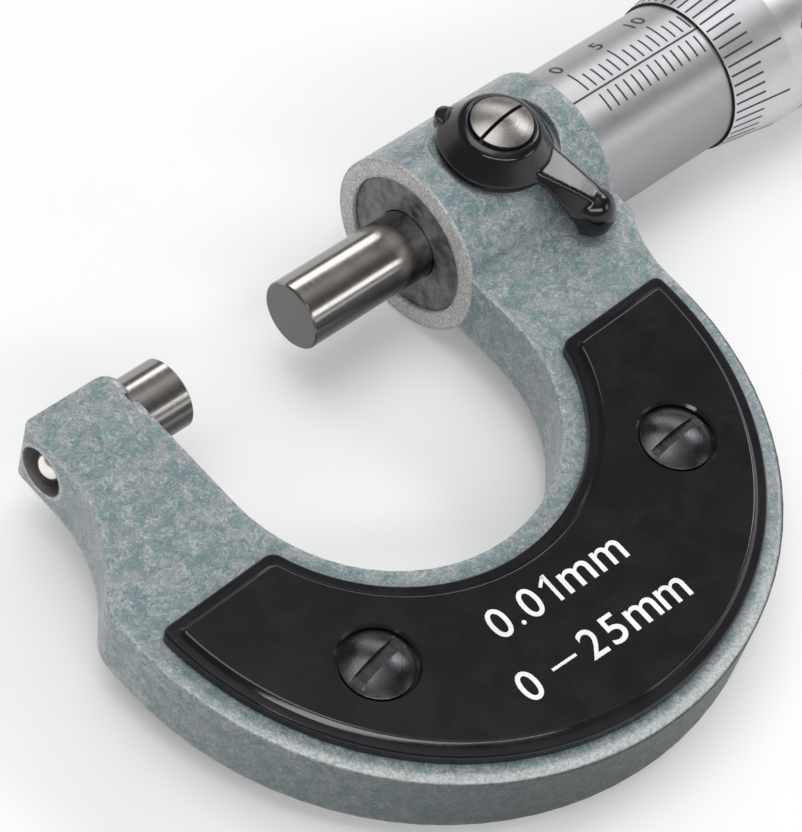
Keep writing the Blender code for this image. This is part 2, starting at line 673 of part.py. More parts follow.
def make_ratchet_clutch(parent, steel):
    """Clutch disc: slides on the stem, keyed to the knob, with teeth that face the stem's."""
    bore_radius = STEM_SHAFT_RADIUS + RUNNING_FIT
    outline = [(CLUTCH_FACE, bore_radius), (CLUTCH_FACE, STEM_FLANGE_RADIUS),
               (SPRING_SEAT, STEM_FLANGE_RADIUS), (SPRING_SEAT, bore_radius)]
    clutch = add_solid("ratchet_clutch", turned(outline, 32), parent, steel)
    combine(clutch, "teeth", crown_teeth(CLUTCH_FACE, -1), "UNION")
    for side in (-1, 1):
        centre = ((CLUTCH_FACE + SPRING_SEAT) / 2, side * (STEM_FLANGE_RADIUS - CLUTCH_KEY_HEIGHT / 2), 0)
        key = block((CLUTCH_THICKNESS * 0.9, 3 * CLUTCH_KEY_HEIGHT, CLUTCH_KEY_WIDTH), centre)
        combine(clutch, f"key_{side}", key, "UNION")


def make_ratchet_spring(parent, steel):
    """Compression spring between the clutch disc and the floor of the knob."""
    start = SPRING_SEAT + SPRING_WIRE + SEAT_GAP
    end = KNOB_FLOOR - SPRING_WIRE - SEAT_GAP
    sides = 6
    per_turn = 11
    count = SPRING_TURNS * per_turn
    pitch = (end - start) / SPRING_TURNS
    lean = atan2(pitch, 2 * pi * SPRING_COIL)
    rings = []
    for index in range(count + 1):
        turn = 2 * pi * index / per_turn
        centre = Vector((start + (end - start) * index / count,
                         SPRING_COIL * cos(turn), SPRING_COIL * sin(turn)))
        outward = Vector((0, cos(turn), sin(turn)))
        across = Vector((cos(lean), sin(turn) * sin(lean), -cos(turn) * sin(lean)))
        ring = []
        for side in range(sides):
            angle = 2 * pi * side / sides
            reach = outward * cos(angle) + across * sin(angle)
            ring.append(centre + reach * SPRING_WIRE)
        rings.append(ring)
    add_solid("ratchet_spring", lofted(rings), parent, steel)


def make_ratchet_knob(parent, chrome):
    """Fluted knob with a deep bore for the clutch and its spring, and grooves for the keys."""
    start = THIMBLE_END + SEAT_GAP * 3
    steps = 2 * FLUTE_COUNT
    rim = KNOB_RADIUS - FLUTE_DEPTH - FACE_CHAMFER
    grip_start = start + KNOB_LIP
    grip_end = KNOB_END - KNOB_LIP
    shaft_hole = STEM_SHAFT_RADIUS + RUNNING_FIT * 2
    head_hole = END_SCREW_HEAD + RUNNING_FIT * 2
    outline = [(start, rim), (start + FACE_CHAMFER, KNOB_RADIUS - FLUTE_DEPTH),
               (grip_start, KNOB_RADIUS - FLUTE_DEPTH), (grip_start + FLUTE_DEPTH, KNOB_RADIUS),
               (grip_end - FLUTE_DEPTH, KNOB_RADIUS), (grip_end, KNOB_RADIUS - FLUTE_DEPTH),
               (KNOB_END - FACE_CHAMFER, KNOB_RADIUS - FLUTE_DEPTH), (KNOB_END, rim),
               (KNOB_END, head_hole), (END_SCREW_SEAT - SEAT_GAP, head_hole),
               (END_SCREW_SEAT - SEAT_GAP, shaft_hole), (KNOB_FLOOR, shaft_hole),
               (KNOB_FLOOR, KNOB_BORE), (start, KNOB_BORE)]
    shape = turned(outline, steps)
    for vert in shape.verts:
        radius = hypot(vert.co.y, vert.co.z)
        spoke = round(atan2(vert.co.z, vert.co.y) * steps / (2 * pi))
        if radius > KNOB_RADIUS - FLUTE_DEPTH / 2 and spoke % 2:
            vert.co.yz *= (KNOB_RADIUS - FLUTE_DEPTH) / radius
    knob = add_solid("ratchet_knob", shape, parent, chrome)
    reach = STEM_FLANGE_RADIUS + CLUTCH_KEY_HEIGHT + RUNNING_FIT * 2
    length = KNOB_FLOOR - start
    groove = block((length + CUT_MARGIN, 2 * reach, CLUTCH_KEY_WIDTH + RUNNING_FIT * 2),
                   (start + (length - CUT_MARGIN) / 2, 0, 0))
    combine(knob, "key_grooves", groove)


def make_end_screw(parent, steel):
    """Slotted screw that keeps the knob on the stem."""
    tip = END_SCREW_SEAT - SEAT_GAP - END_SCREW_LENGTH
    rim_end = KNOB_END - END_SCREW_HEIGHT / 2
    head = domed(END_SCREW_HEAD, END_SCREW_HEIGHT / 2 - FACE_CHAMFER, rim_end, 3)
    outline = [(tip, 0), (tip, END_SCREW_SHANK), (END_SCREW_SEAT, END_SCREW_SHANK),
               (END_SCREW_SEAT, END_SCREW_HEAD)] + head
    screw = add_solid("ratchet_end_screw", turned(outline, 28), parent, steel)
    slot = block((2 * SLOT_DEPTH, 3 * END_SCREW_HEAD, SLOT_WIDTH), (KNOB_END, 0, 0))
    combine(screw, "slot", slot)


def lever_arm_shape():
    """Loft the lever's arm along -Y, a wedge with a flat crest and a drooping, rounded tip."""
    base = HUB_CREST - HUB_HEIGHT * 0.35
    crest_drop = HUB_HEIGHT * 1.15
    # Each station: share of the reach, share of the crest's drop, share of the width
    stations = ((0.0, 0.0, 1.0), (0.3, 0.33, 1.0), (0.55, 0.66, 0.97), (0.76, 1.0, 0.95),
                (0.86, 1.32, 0.93), (0.94, 1.8, 0.8), (1.0, 2.5, 0.45))
    sections = []
    for reach, drop, width in stations:
        y = -LEVER_REACH * reach
        top = base - crest_drop * drop
        middle = LEVER_FLOOR + (top - LEVER_FLOOR) * 0.5
        crest = LEVER_CREST / 2 * width
        foot = LEVER_WIDTH / 2 * width
        corners = ((-foot, LEVER_FLOOR), (foot, LEVER_FLOOR), (foot, middle), (crest, top),
                   (-crest, top), (-foot, middle))
        sections.append([(x, y, z) for x, z in corners])
    return lofted(sections)


def make_lock_lever(parent, plastic):
    """Lock lever: conical hub, arm and short tail, hollowed below so that it swings over the boss."""
    foot = SPOT_Z - HUB_HEIGHT / 2
    hub = [(foot, 0), (foot, HUB_RADIUS), (HUB_FOOT + HUB_SKIRT, HUB_RADIUS),
           (HUB_CREST, HUB_TOP_RADIUS), (HUB_CREST, 0)]
    lever = add_solid("lock_lever", turned(hub, ROUND_STEPS, upright=True), parent, plastic)
    combine(lever, "arm", lever_arm_shape(), "UNION")
    tail = turned(stepped([(LEVER_FLOOR, HUB_FOOT + HUB_SKIRT, LEVER_TAIL_WIDTH / 2)]),
                  SMALL_STEPS, upright=True)
    bmesh.ops.translate(tail, vec=(0, LEVER_TAIL - LEVER_TAIL_WIDTH / 2, 0), verts=tail.verts)
    combine(lever, "tail", tail, "UNION")
    clearance = BOSS_RADIUS + TURNING_GAP
    positions = 5
    span = LEVER_SWING + 2 * LEVER_OVERTRAVEL
    for index in range(positions):
        turn = LEVER_TURN + LEVER_OVERTRAVEL * 1.5 - span * index / (positions - 1)
        boss = turned(stepped([(-3 * HUB_RADIUS, 3 * HUB_RADIUS, clearance)]), FINE_STEPS)
        bmesh.ops.rotate(boss, cent=(0, 0, 0), matrix=Matrix.Rotation(-radians(turn), 3, "Z"),
                         verts=boss.verts)
        combine(lever, f"boss_clearance_{index}", boss)
    combine(lever, "bores", drill([(0, HUB_FOOT, LOCK_WASHER_RADIUS + SEAT_GAP),
                                   (HUB_FOOT, HEAD_SEAT, LOCK_STUD_RADIUS + RUNNING_FIT),
                                   (HEAD_SEAT, HUB_CREST + CUT_MARGIN, LOCK_HEAD_RADIUS + SEAT_GAP)],
                                  steps=32))


def make_lock_screw(parent, steel):
    """Domed, slotted screw that clamps the lever onto its stud."""
    seat = HEAD_SEAT + SEAT_GAP
    tip = WASHER_Z
    rim = seat + LOCK_HEAD_RIM
    outline = [(tip, 0), (tip, LOCK_SCREW_SHANK), (seat, LOCK_SCREW_SHANK),
               (seat, LOCK_HEAD_RADIUS)] + domed(LOCK_HEAD_RADIUS, LOCK_HEAD_DOME, rim)
    screw = add_solid("lock_screw", turned(outline, 32, upright=True), parent, steel)
    slot = block((3 * LOCK_HEAD_RADIUS, SLOT_WIDTH * 0.6, 2 * SLOT_DEPTH),
                 (0, 0, rim + LOCK_HEAD_DOME), LOCK_SLOT_TURN - LEVER_TURN)
    combine(screw, "slot", slot)


def make_lock_stud(parent, steel):
    """Stud: screws through boss and inner sleeve, and turns with the lever."""
    foot = MEASURING_RADIUS + SEAT_GAP * 2 + LOCK_SHOE_HEIGHT
    top = HEAD_SEAT - SEAT_GAP
    hole = LOCK_SCREW_SHANK + RUNNING_FIT
    floor = WASHER_Z - SEAT_GAP
    outline = [(foot, 0), (foot, LOCK_STUD_RADIUS), (top, LOCK_STUD_RADIUS), (top, hole),
               (floor, hole), (floor, 0)]
    add_solid("lock_stud", turned(outline, SMALL_STEPS, upright=True), parent, steel)


def make_lock_washer(parent, steel):
    """Washer between the boss and the lever's hub."""
    top = WASHER_Z + LOCK_WASHER_THICKNESS
    inner = LOCK_STUD_RADIUS + RUNNING_FIT
    outline = [(WASHER_Z, inner), (WASHER_Z, LOCK_WASHER_RADIUS), (top, LOCK_WASHER_RADIUS),
               (top, inner)]
    add_solid("lock_washer", turned(outline, 32, upright=True), parent, steel)


def make_lock_shoe(parent, brass):
    """Brass shoe that the stud presses onto the spindle."""
    foot = MEASURING_RADIUS + SEAT_GAP
    top = foot + LOCK_SHOE_HEIGHT
    outline = [(foot, 0), (foot, LOCK_STUD_RADIUS), (top, LOCK_STUD_RADIUS), (top, 0)]
    add_solid("lock_shoe", turned(outline, SMALL_STEPS, upright=True), parent, brass)


def rest_angle():
    """Return the turn about X at which the thimble and the back plate's edge touch the bench."""
    edge_y = RIM_DROP + RIM_RADIUS - PLATE_OUTER_BAND - PLATE_MARGIN
    edge_z = PLATE_FACE
    return asin(THIMBLE_RADIUS / hypot(edge_y, edge_z)) - atan2(edge_z, edge_y)


def build():
    """Build the whole micrometer."""
    clear_scene()
    paint = make_material("hammered_paint", (0.27, 0.33, 0.33), 0.45, 0.2)
    plastic = make_material("black_plastic", (0.012, 0.012, 0.014), 0.25, 0.0)
    ground = make_material("ground_steel", (0.42, 0.41, 0.39), 0.22, 1.0)
    chrome = make_material("satin_chrome", (0.60, 0.61, 0.63), 0.35, 1.0)
    dark = make_material("dark_steel", (0.12, 0.12, 0.12), 0.45, 1.0)
    black = make_material("black_oxide", (0.02, 0.02, 0.02), 0.35, 0.6)
    bright = make_material("bright_steel", (0.62, 0.60, 0.57), 0.25, 1.0)
    brass = make_material("brass", (0.55, 0.40, 0.15), 0.35, 1.0)

    axes = add_empty("measuring_axes", None)
    axes.rotation_euler.x = rest_angle()
    make_frame(axes, paint)
    make_anvil(axes, ground)
    front = add_empty("front_side", axes, (THROAT_X, -THROAT_DROP, 0))
    front.rotation_euler.z = radians(PLATE_TURN)
    make_plate("front_plate", front, plastic)
    make_plate_screws(front, "front", black)
    back = add_empty("back_side", axes, (THROAT_X, -THROAT_DROP, 0))
    back.rotation_euler = (0, pi, -radians(PLATE_TURN))
    make_plate("back_plate", back, plastic)
    make_plate_screws(back, "back", black)
    make_inner_sleeve(axes, dark)
    make_sleeve(axes, chrome)
    make_adjusting_nut(axes, dark)
    spindle_line = add_empty("spindle_line", axes)
    make_spindle(spindle_line, ground)
    make_thimble(spindle_line, chrome)
    make_ratchet_stem(spindle_line, bright)
    make_ratchet_clutch(spindle_line, dark)
    make_ratchet_spring(spindle_line, bright)
    make_ratchet_knob(spindle_line, chrome)
    make_end_screw(spindle_line, bright)
    fixed_lock = add_empty("lock_hole_axis", axes, (LOCK_X, 0, 0))
    make_lock_washer(fixed_lock, bright)
    make_lock_shoe(fixed_lock, brass)
    lever_axis = add_empty("lever_axis", fixed_lock)
    lever_axis.rotation_euler.z = radians(LEVER_TURN)
    make_lock_stud(lever_axis, bright)
    make_lock_lever(lever_axis, plastic)
    make_lock_screw(lever_axis, bright)


build()
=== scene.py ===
"""Outside micrometer with a cast C frame, black plates, a lever lock and a ratchet stop.

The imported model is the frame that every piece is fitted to. A piece is modelled in the micrometer's
own axes and in millimetres: X along the spindle from the anvil to the ratchet, Y up the C frame and
Z out of the front plate. settle() then turns it to the way it rests on the bench, in metres.
"""

import json
from math import asin, atan2, cos, hypot, pi, radians, sin, tan

import bpy
from bpy.props import FloatProperty, FloatVectorProperty, PointerProperty
from mathutils import Matrix, Vector


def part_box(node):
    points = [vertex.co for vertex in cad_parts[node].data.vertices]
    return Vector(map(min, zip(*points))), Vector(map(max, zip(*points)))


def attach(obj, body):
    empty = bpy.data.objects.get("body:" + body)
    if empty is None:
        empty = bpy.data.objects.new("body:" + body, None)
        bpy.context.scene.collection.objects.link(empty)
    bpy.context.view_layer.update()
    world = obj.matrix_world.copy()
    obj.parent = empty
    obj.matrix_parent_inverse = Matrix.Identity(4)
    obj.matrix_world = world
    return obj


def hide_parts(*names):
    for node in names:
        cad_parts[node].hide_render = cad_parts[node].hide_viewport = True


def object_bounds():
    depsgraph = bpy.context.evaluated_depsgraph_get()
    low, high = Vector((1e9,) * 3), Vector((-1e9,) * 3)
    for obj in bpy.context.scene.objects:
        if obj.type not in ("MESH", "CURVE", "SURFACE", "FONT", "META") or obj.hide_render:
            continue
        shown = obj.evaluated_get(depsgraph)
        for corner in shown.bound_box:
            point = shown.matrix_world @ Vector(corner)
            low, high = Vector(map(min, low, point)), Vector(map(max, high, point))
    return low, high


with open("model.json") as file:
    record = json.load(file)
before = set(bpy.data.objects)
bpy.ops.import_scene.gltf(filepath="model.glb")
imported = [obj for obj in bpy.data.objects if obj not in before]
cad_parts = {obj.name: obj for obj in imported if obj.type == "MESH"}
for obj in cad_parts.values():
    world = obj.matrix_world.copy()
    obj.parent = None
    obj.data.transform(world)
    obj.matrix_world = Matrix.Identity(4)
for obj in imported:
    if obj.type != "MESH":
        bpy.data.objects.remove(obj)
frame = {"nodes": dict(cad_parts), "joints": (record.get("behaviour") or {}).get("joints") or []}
CAD_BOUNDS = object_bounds()

bl_info = {
    "name": "Outside Micrometer",
    "version": (1, 0, 0),
    "blender": (4, 5, 0),
    "location": "3D View > Sidebar > Micrometer",
    "description": "Builds an outside micrometer on its packed frame, with its scales and finishes",
    "category": "Add Mesh",
}

MM = 0.001

# The hinge of the lock lever stands square on the front plate, so its axis gives the rest angle
LEVER_JOINT = next(joint for joint in frame["joints"] if joint["name"] == "lever_swing")
REST = atan2(-LEVER_JOINT["axis"][1], LEVER_JOINT["axis"][2])
LOCK_X = LEVER_JOINT["pos_m"][0] / MM


def span(node):
    """Return where a CAD node starts and ends along X, in millimetres."""
    low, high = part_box(node)
    return low.x / MM, high.x / MM


# Places along X
ANVIL_TAIL, ANVIL_FACE = span("anvil")
SPINDLE_FACE, SPINDLE_TAIL = span("spindle")
SLEEVE_START, SLEEVE_END = span("graduated_sleeve")
THIMBLE_EDGE, THIMBLE_END = span("thimble")
KNOB_START, KNOB_END = span("ratchet_knob")
THROAT_X = 11.1
ZERO_X = 46.88

# Frame and plates
BOSS_FRONT = 26.6
BOSS_RADIUS = 8.2
PLATE_FOOT = 3.3
PLATE_FACE = 4.65
BORDER_FACE = PLATE_FACE - 0.36
MIDDLE_INSET = 0.85
MIDDLE_CORNER = 0.7
# Steps of (thickness, rise) from an edge to the flat inside it
ROLLED_EDGE = (0.05, 0.1), (0.13, 0.12), (0.54, 0.02)
MIDDLE_EDGE = (0.3, 0.27), (0.1, 0.05), (0.1, 0.02)
PLATE_TOP = 17.6
PLATE_OUTER = 28.6
PLATE_INNER = 17.45
PLATE_CORNER = 0.8
PLATE_TURN = radians(1.9)
RIM_DROP = 18.0
RIM_RADIUS = 30.3
THROAT_DROP = 12.6
SCREW_SPREAD = 17.37
SCREW_DROP = 30.3
SCREW_HEAD = 3.1
SCREW_SHANK = 1.25
PRINT_HEIGHT = 2.7

# Turned parts
MEASURING_RADIUS = 3.175
ANVIL_SHANK = 2.2
ANVIL_SEAT = -4.8
ANVIL_DOME = ANVIL_TAIL - 0.3
SPINDLE_SHOULDER = 57.0
SCREW_RADIUS = 3.0
TAPER_START = 94.0
SLEEVE_RADIUS = 7.1
SLEEVE_BORE = 6.0
LIP_RADIUS = 7.34
THIMBLE_RADIUS = 8.42
THIMBLE_BORE = 7.18
THIMBLE_FLOOR = 93.9
BEVEL_END = THIMBLE_EDGE + 6.6
GRIP_START = THIMBLE_EDGE + 17
GRIP_END = THIMBLE_END - 5
GRIP_ROWS = 44
KNOB_RADIUS = 6.19
KNOB_BORE = 5.06
END_HOLE = 3.16
FLUTES = 40
FLUTE_DEPTH = 0.28

# Lock
LEVER_TURN = radians(25)
HUB_FOOT = 8.45
HUB_CREST = 10.55
HEAD_SEAT = 10.15
HUB_RADIUS = 5.2
SPOT_FACE = 7.25
ARM_WIDTH = 4.4
ARM_REACH = 11.9
LOCK_HEAD = 2.75
ARM_FLOOR = 3.7
LEVER_GRAIN = 0.12
# Each station of the lever's arm: distance from the hub, drop of the crest, share of the width
ARM_STATIONS = ((0.0, 0.0, 2.2), (2.6, 0.62, 2.05), (4.4, 1.08, 1.72), (6.2, 1.56, 1.42),
                (8.0, 2.06, 1.1), (9.4, 2.5, 0.9), (10.2, 3.0, 0.8))

# Scales, with angles measured from the front toward the top
INDEX_ANGLE = radians(-2.7)
UPPER_LINES = radians(0.3), radians(14.5)
UPPER_FIVES = radians(0.3), radians(21.5)
LOWER_LINES = radians(-21), radians(-6.4)
THIMBLE_LINES = 50
LINE_PITCH = 2 * pi / THIMBLE_LINES

# Each light: its setting, azimuth and elevation in degrees, distance and size in metres
LIGHTS = {"overhead": (120, 77, 0.9, (0.65, 0.65)), "left": (-124, 39, 0.7, (0.9, 0.12)),
          "key": (25, 38, 0.8, (0.95, 0.24)), "front": (-51, 24, 0.7, (0.25, 0.14)),
          "glint": (-3, 44, 0.8, (0.16, 0.14))}

# The camera's right side, its upper side and its place, in the micrometer's axes
CAMERA_RIGHT = (0.7254, -0.6638, 0.1821)
CAMERA_UP = (0.4765, 0.6753, 0.5629)
CAMERA_PLACE = (-126.0, -103.8, 227.7)
CAMERA_LENS = 147.9


# Settings


def length(name, description, default, low, high):
    """Return a length property, from millimetres."""
    return FloatProperty(name=name, description=description, default=default * MM, min=low * MM,
                         max=high * MM, unit="LENGTH", subtype="DISTANCE")


def power(name, description, default, most=10):
    """Return the power of a light."""
    return FloatProperty(name=name, description=description, default=default, min=0, max=most,
                         unit="POWER")


def colour(name, description, default):
    """Return a colour property."""
    return FloatVectorProperty(name=name, description=description, default=default, size=3,
                               min=0, max=1, subtype="COLOR")


class MicrometerSizes(bpy.types.PropertyGroup):
    """Sizes of the fine details."""
    line_width: length("Line Width", "Width of the lines of both scales", 0.19, 0.05, 0.4)
    number_height: length("Number Height", "Height of the numbers on the scales", 1.6, 0.8, 2.5)
    letter_height: length("Letter Height", "Height of the figures printed on the front plate",
                          PRINT_HEIGHT, 1.5, 5)
    ink_height: length("Ink Height", "How far ink and print stand out of their surface",
                       0.015, 0.005, 0.05)
    knurl_depth: length("Knurl Depth", "Depth of the knurling on the thimble's grip",
                        0.2, 0, 0.35)
    edge_round: length("Edge Round", "Rounding of the edges of turned parts", 0.15, 0.05, 0.3)


class MicrometerFinishes(bpy.types.PropertyGroup):
    """Colours of the finishes."""
    paint_green: colour("Paint Green", "Darker, greener tone of the hammered paint",
                        (0.155, 0.23, 0.235))
    paint_grey: colour("Paint Grey", "Lighter, greyer tone of the hammered paint",
                       (0.275, 0.305, 0.325))
    # Worn paint also gives the painted highlight along the bow's lower left edge
    paint_worn: colour("Worn Paint", "Speckled edges of the casting", (0.60, 0.62, 0.61))
    bare_iron: colour("Bare Iron", "Machined faces of the casting", (0.42, 0.41, 0.40))
    black_plastic: colour("Black Plastic", "Plates and lock lever", (0.008, 0.008, 0.010))
    ground_steel: colour("Ground Steel", "Anvil and spindle", (0.42, 0.40, 0.38))
    satin_chrome: colour("Satin Chrome", "Sleeve, thimble and ratchet knob", (0.46, 0.46, 0.475))
    dark_steel: colour("Dark Steel", "Inner sleeve and nut", (0.19, 0.19, 0.188))
    black_steel: colour("Black Steel", "Screws of the plates", (0.075, 0.075, 0.08))
    bright_steel: colour("Bright Steel", "Lock screw, washer, stem and spring",
                         (0.40, 0.385, 0.365))
    brass: colour("Brass", "Shoe of the lock", (0.62, 0.42, 0.15))
    ink: colour("Ink", "Filling of the engraved scales", (0.035, 0.036, 0.042))
    print_white: colour("Print White", "Lettering on the plate", (0.86, 0.86, 0.86))


class MicrometerStage(bpy.types.PropertyGroup):
    """Floor and light."""
    floor: colour("Floor", "Colour of the bench", (0.77, 0.77, 0.77))
    overhead: power("Overhead Light", "Power of the large light overhead", 3.1, 20)
    key: power("Key Light", "Power of the long light behind the ratchet", 2.1)
    front: power("Front Light", "Power of the low light in front", 0.3)
    left: power("Left Light", "Power of the long light to the left", 2.0)
    glint: power("Glint Light", "Power of the small light to the right", 0.5)


def sizes():
    """Return the sizes of the fine details."""
    return bpy.context.scene.micrometer_sizes


def finishes():
    """Return the colours of the finishes."""
    return bpy.context.scene.micrometer_finishes


# Working with the mesh tools


def take(*pieces):
    """Select these pieces alone. The first is the active one."""
    bpy.ops.object.select_all(action="DESELECT")
    for piece in pieces:
        piece.select_set(True)
    bpy.context.view_layer.objects.active = pieces[0]


def named(name):
    """Name the piece that was just added, and return it."""
    piece = bpy.context.object
    piece.name = name
    piece.data.name = name
    return piece


def editing(on):
    """Go into edit mode or leave it."""
    bpy.ops.object.mode_set(mode="EDIT" if on else "OBJECT")


def apply_place(piece):
    """Put a piece's place, turn and scale into its mesh."""
    take(piece)
    bpy.ops.object.transform_apply(location=True, rotation=True, scale=True)


def mend(piece):
    """Merge doubled corners and turn every face outward."""
    take(piece)
    editing(True)
    bpy.ops.mesh.select_all(action="SELECT")
    bpy.ops.mesh.remove_doubles(threshold=1e-4)
    bpy.ops.mesh.normals_make_consistent(inside=False)
    editing(False)


def dissolve(piece):
    """Join faces that lie flat against each other."""
    take(piece)
    editing(True)
    bpy.ops.mesh.select_all(action="SELECT")
    bpy.ops.mesh.dissolve_limited(angle_limit=radians(0.4))
    editing(False)


def pick(piece, kind, test):
    """Select the edges or polygons that pass a test, and go into edit mode with them."""
    take(piece)
    editing(True)
    bpy.ops.mesh.select_mode(type="EDGE" if kind == "edges" else "FACE")
    bpy.ops.mesh.select_all(action="DESELECT")
    editing(False)
    for item in getattr(piece.data, kind):
        item.select = test(item)
    editing(True)


def modify(piece, kind, **settings):
    """Add a modifier with these settings and apply it."""
    take(piece)
    modifier = piece.modifiers.new(kind.lower(), kind)
    for key, value in settings.items():
        setattr(modifier, key, value)
    bpy.ops.object.modifier_apply(modifier=modifier.name)


def combine(piece, tool, operation="DIFFERENCE"):
    """Cut a tool out of a piece, or join it on, and remove the tool."""
    modify(piece, "BOOLEAN", object=tool, operation=operation, solver="EXACT")
    bpy.data.objects.remove(tool)


def soften(piece, width):
    """Bevel the sharp edges of a piece."""
    modify(piece, "BEVEL", width=width, segments=2, limit_method="ANGLE",
           angle_limit=radians(50))


def rounded(profile, steps=4):
    """Return a profile of (place, radius) points with a fillet wherever a point gives one."""
    points = []
    for index, (x, radius, *round_off) in enumerate(profile):
        if not round_off:
            points.append((x, radius))
            continue
        corner = Vector((x, radius))
        into = (Vector(profile[index - 1][:2]) - corner).normalized()
        out = (Vector(profile[index + 1][:2]) - corner).normalized()
        half = into.angle(out) / 2
        centre = corner + (into + out).normalized() * round_off[0] / sin(half)
        start = corner + into * round_off[0] / tan(half) - centre
        end = corner + out * round_off[0] / tan(half) - centre
        points += [tuple(centre + start.slerp(end, step / steps) * start.length)
                   for step in range(steps + 1)]
    return points


def turn(name, profile, sides=96, solid=True, upright=False):
    """Turn a piece: a ring is extruded along the axis and scaled to each point of the profile.

    A solid piece is closed by its first and its last ring. The profile of a hollow one ends where
    it starts.
    """
    points = rounded(profile)
    bpy.ops.object.select_all(action="DESELECT")
    bpy.ops.mesh.primitive_circle_add(vertices=sides, radius=points[0][1],
                                      fill_type="NGON" if solid else "NOTHING",
                                      location=(0, 0, points[0][0]), enter_editmode=True)
    bpy.ops.mesh.select_mode(type="VERT")
    bpy.ops.mesh.select_all(action="SELECT")
    for (x, radius), (next_x, next_radius) in zip(points, points[1:]):
        bpy.ops.mesh.extrude_region_move(TRANSFORM_OT_translate={"value": (0, 0, next_x - x)})
        scale = next_radius / radius
        if abs(scale - 1) > 1e-6:
            bpy.ops.transform.resize(value=(scale, scale, 1), center_override=(0, 0, next_x))
    editing(False)
    piece = named(name)
    apply_place(piece)
    mend(piece)
    if not upright:
        piece.rotation_euler = (0, pi / 2, 0)
        apply_place(piece)
    return piece


def domed(radius, height, rim, shares):
    """Return a dome's profile above its rim, with rings at shares of its half angle."""
    curve = (radius ** 2 + height ** 2) / (2 * height)
    half = asin(radius / curve)
    return [(rim + height - curve * (1 - cos(half * share)), curve * sin(half * share))
            for share in shares]


def add_box(name, size, centre, turned=0.0):
    """Add a box, turned about Z."""
    bpy.ops.object.select_all(action="DESELECT")
    bpy.ops.mesh.primitive_cube_add(size=1, location=centre, rotation=(0, 0, turned))
    piece = named(name)
    piece.scale = size
    apply_place(piece)
    return piece


def add_rod(name, radius, low, high, centre=(0, 0), sides=96):
    """Add an upright rod, for cutting."""
    bpy.ops.object.select_all(action="DESELECT")
    bpy.ops.mesh.primitive_cylinder_add(vertices=sides, radius=radius, depth=high - low,
                                        location=(*centre, (low + high) / 2))
    piece = named(name)
    apply_place(piece)
    return piece


def copy_of(node, name):
    """Copy a CAD node into the micrometer's axes, with its loose triangles merged."""
    mesh = frame["nodes"][node].data.copy()
    mesh.transform(Matrix.Scale(1 / MM, 4) @ Matrix.Rotation(-REST, 4, "X"))
    piece = bpy.data.objects.new(name, mesh)
    bpy.context.collection.objects.link(piece)
    take(piece)
    if mesh.has_custom_normals:
        bpy.ops.mesh.customdata_custom_splitnormals_clear()
    mend(piece)
    dissolve(piece)
    return piece


def wrap(piece, radius_at):
    """Wrap a flat piece round the X axis, with its Y as an angle and its Z as a height."""
    for vert in piece.data.vertices:
        x, angle, height = vert.co
        reach = radius_at(x) + height
        vert.co = (x, reach * sin(angle), reach * cos(angle))


def slice_up(piece, low, high, count):
    """Slice a flat piece across, so that it can be wrapped round."""
    take(piece)
    editing(True)
    for step in range(1, count):
        bpy.ops.mesh.select_all(action="SELECT")
        bpy.ops.mesh.bisect(plane_co=(0, low + (high - low) * step / count, 0),
                            plane_no=(0, 1, 0))
    editing(False)


def joined(name, pieces):
    """Join pieces into one."""
    take(*pieces)
    bpy.ops.object.join()
    return named(name)


def lettering(name, text, height, thickness):
    """Return text as a mesh that lies flat, with its left end at the origin."""
    bpy.ops.object.select_all(action="DESELECT")
    bpy.ops.object.text_add()
    item = bpy.context.object
    item.data.body = text
    item.data.size = height
    item.data.extrude = thickness / 2
    item.data.resolution_u = 8
    item.data.offset = 0.006 * height
    bpy.ops.object.convert(target="MESH")
    piece = named(name)
    apply_place(piece)
    mend(piece)
    return piece


def middle(piece):
    """Return the middle of a piece's box."""
    corners = [Vector(corner) for corner in piece.bound_box]
    low = Vector(map(min, zip(*corners)))
    high = Vector(map(max, zip(*corners)))
    return (low + high) / 2


def moved(piece, offset):
    """Move a piece, and put its place into its mesh."""
    piece.location = offset
    apply_place(piece)
    return piece


def to_back(piece):
    """Turn a piece of the front side over to the back of the casting."""
    piece.data.transform(Matrix.Translation((2 * THROAT_X, 0, 0)) @ Matrix.Rotation(pi, 4, "Y"))
    return piece


def settle(piece, material, body, slot, *nodes, sharp=35):
    """Shade a finished piece, rest it on the bench in metres, fix it to its body and hide the CAD
    nodes it replaces.
    """
    take(piece)
    piece.data.materials.clear()
    piece.data.materials.append(material)
    bpy.ops.object.shade_smooth_by_angle(angle=radians(sharp))
    modify(piece, "WEIGHTED_NORMAL", keep_sharp=True)
    piece.rotation_euler = (REST, 0, 0)
    piece.scale = (MM, MM, MM)
    apply_place(piece)
    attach(piece, body)
    if nodes:
        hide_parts(*nodes)


# Materials


def new_group(name, inputs, outputs):
    """Start a node group. Return it with the values it is given and the results it puts out."""
    group = bpy.data.node_groups.new(name, "ShaderNodeTree")
    for label, kind, default in inputs:
        socket = group.interface.new_socket(label, in_out="INPUT", socket_type=kind)
        if default is not None:
            socket.default_value = default
    for label, kind in outputs:
        group.interface.new_socket(label, in_out="OUTPUT", socket_type=kind)
    return (group, group.nodes.new("NodeGroupInput").outputs,
            group.nodes.new("NodeGroupOutput").inputs)


def math_node(tree, operation, *values):
    """Add a math node, with numbers or sockets as its values. Return its result."""
    node = tree.nodes.new("ShaderNodeMath")
    node.operation = operation
    for socket, value in zip(node.inputs, values):
        feed(tree, socket, value)
    return node.outputs[0]


def product(tree, *values):
    """Multiply numbers or sockets. Return the result."""
    result = values[0]
    for value in values[1:]:
        result = math_node(tree, "MULTIPLY", result, value)
    return result


def weighed(tree, first, first_weight, second, second_weight):
    """Return the sum of two values, each times its weight."""
    return math_node(tree, "ADD", product(tree, first, first_weight),
                     product(tree, second, second_weight))


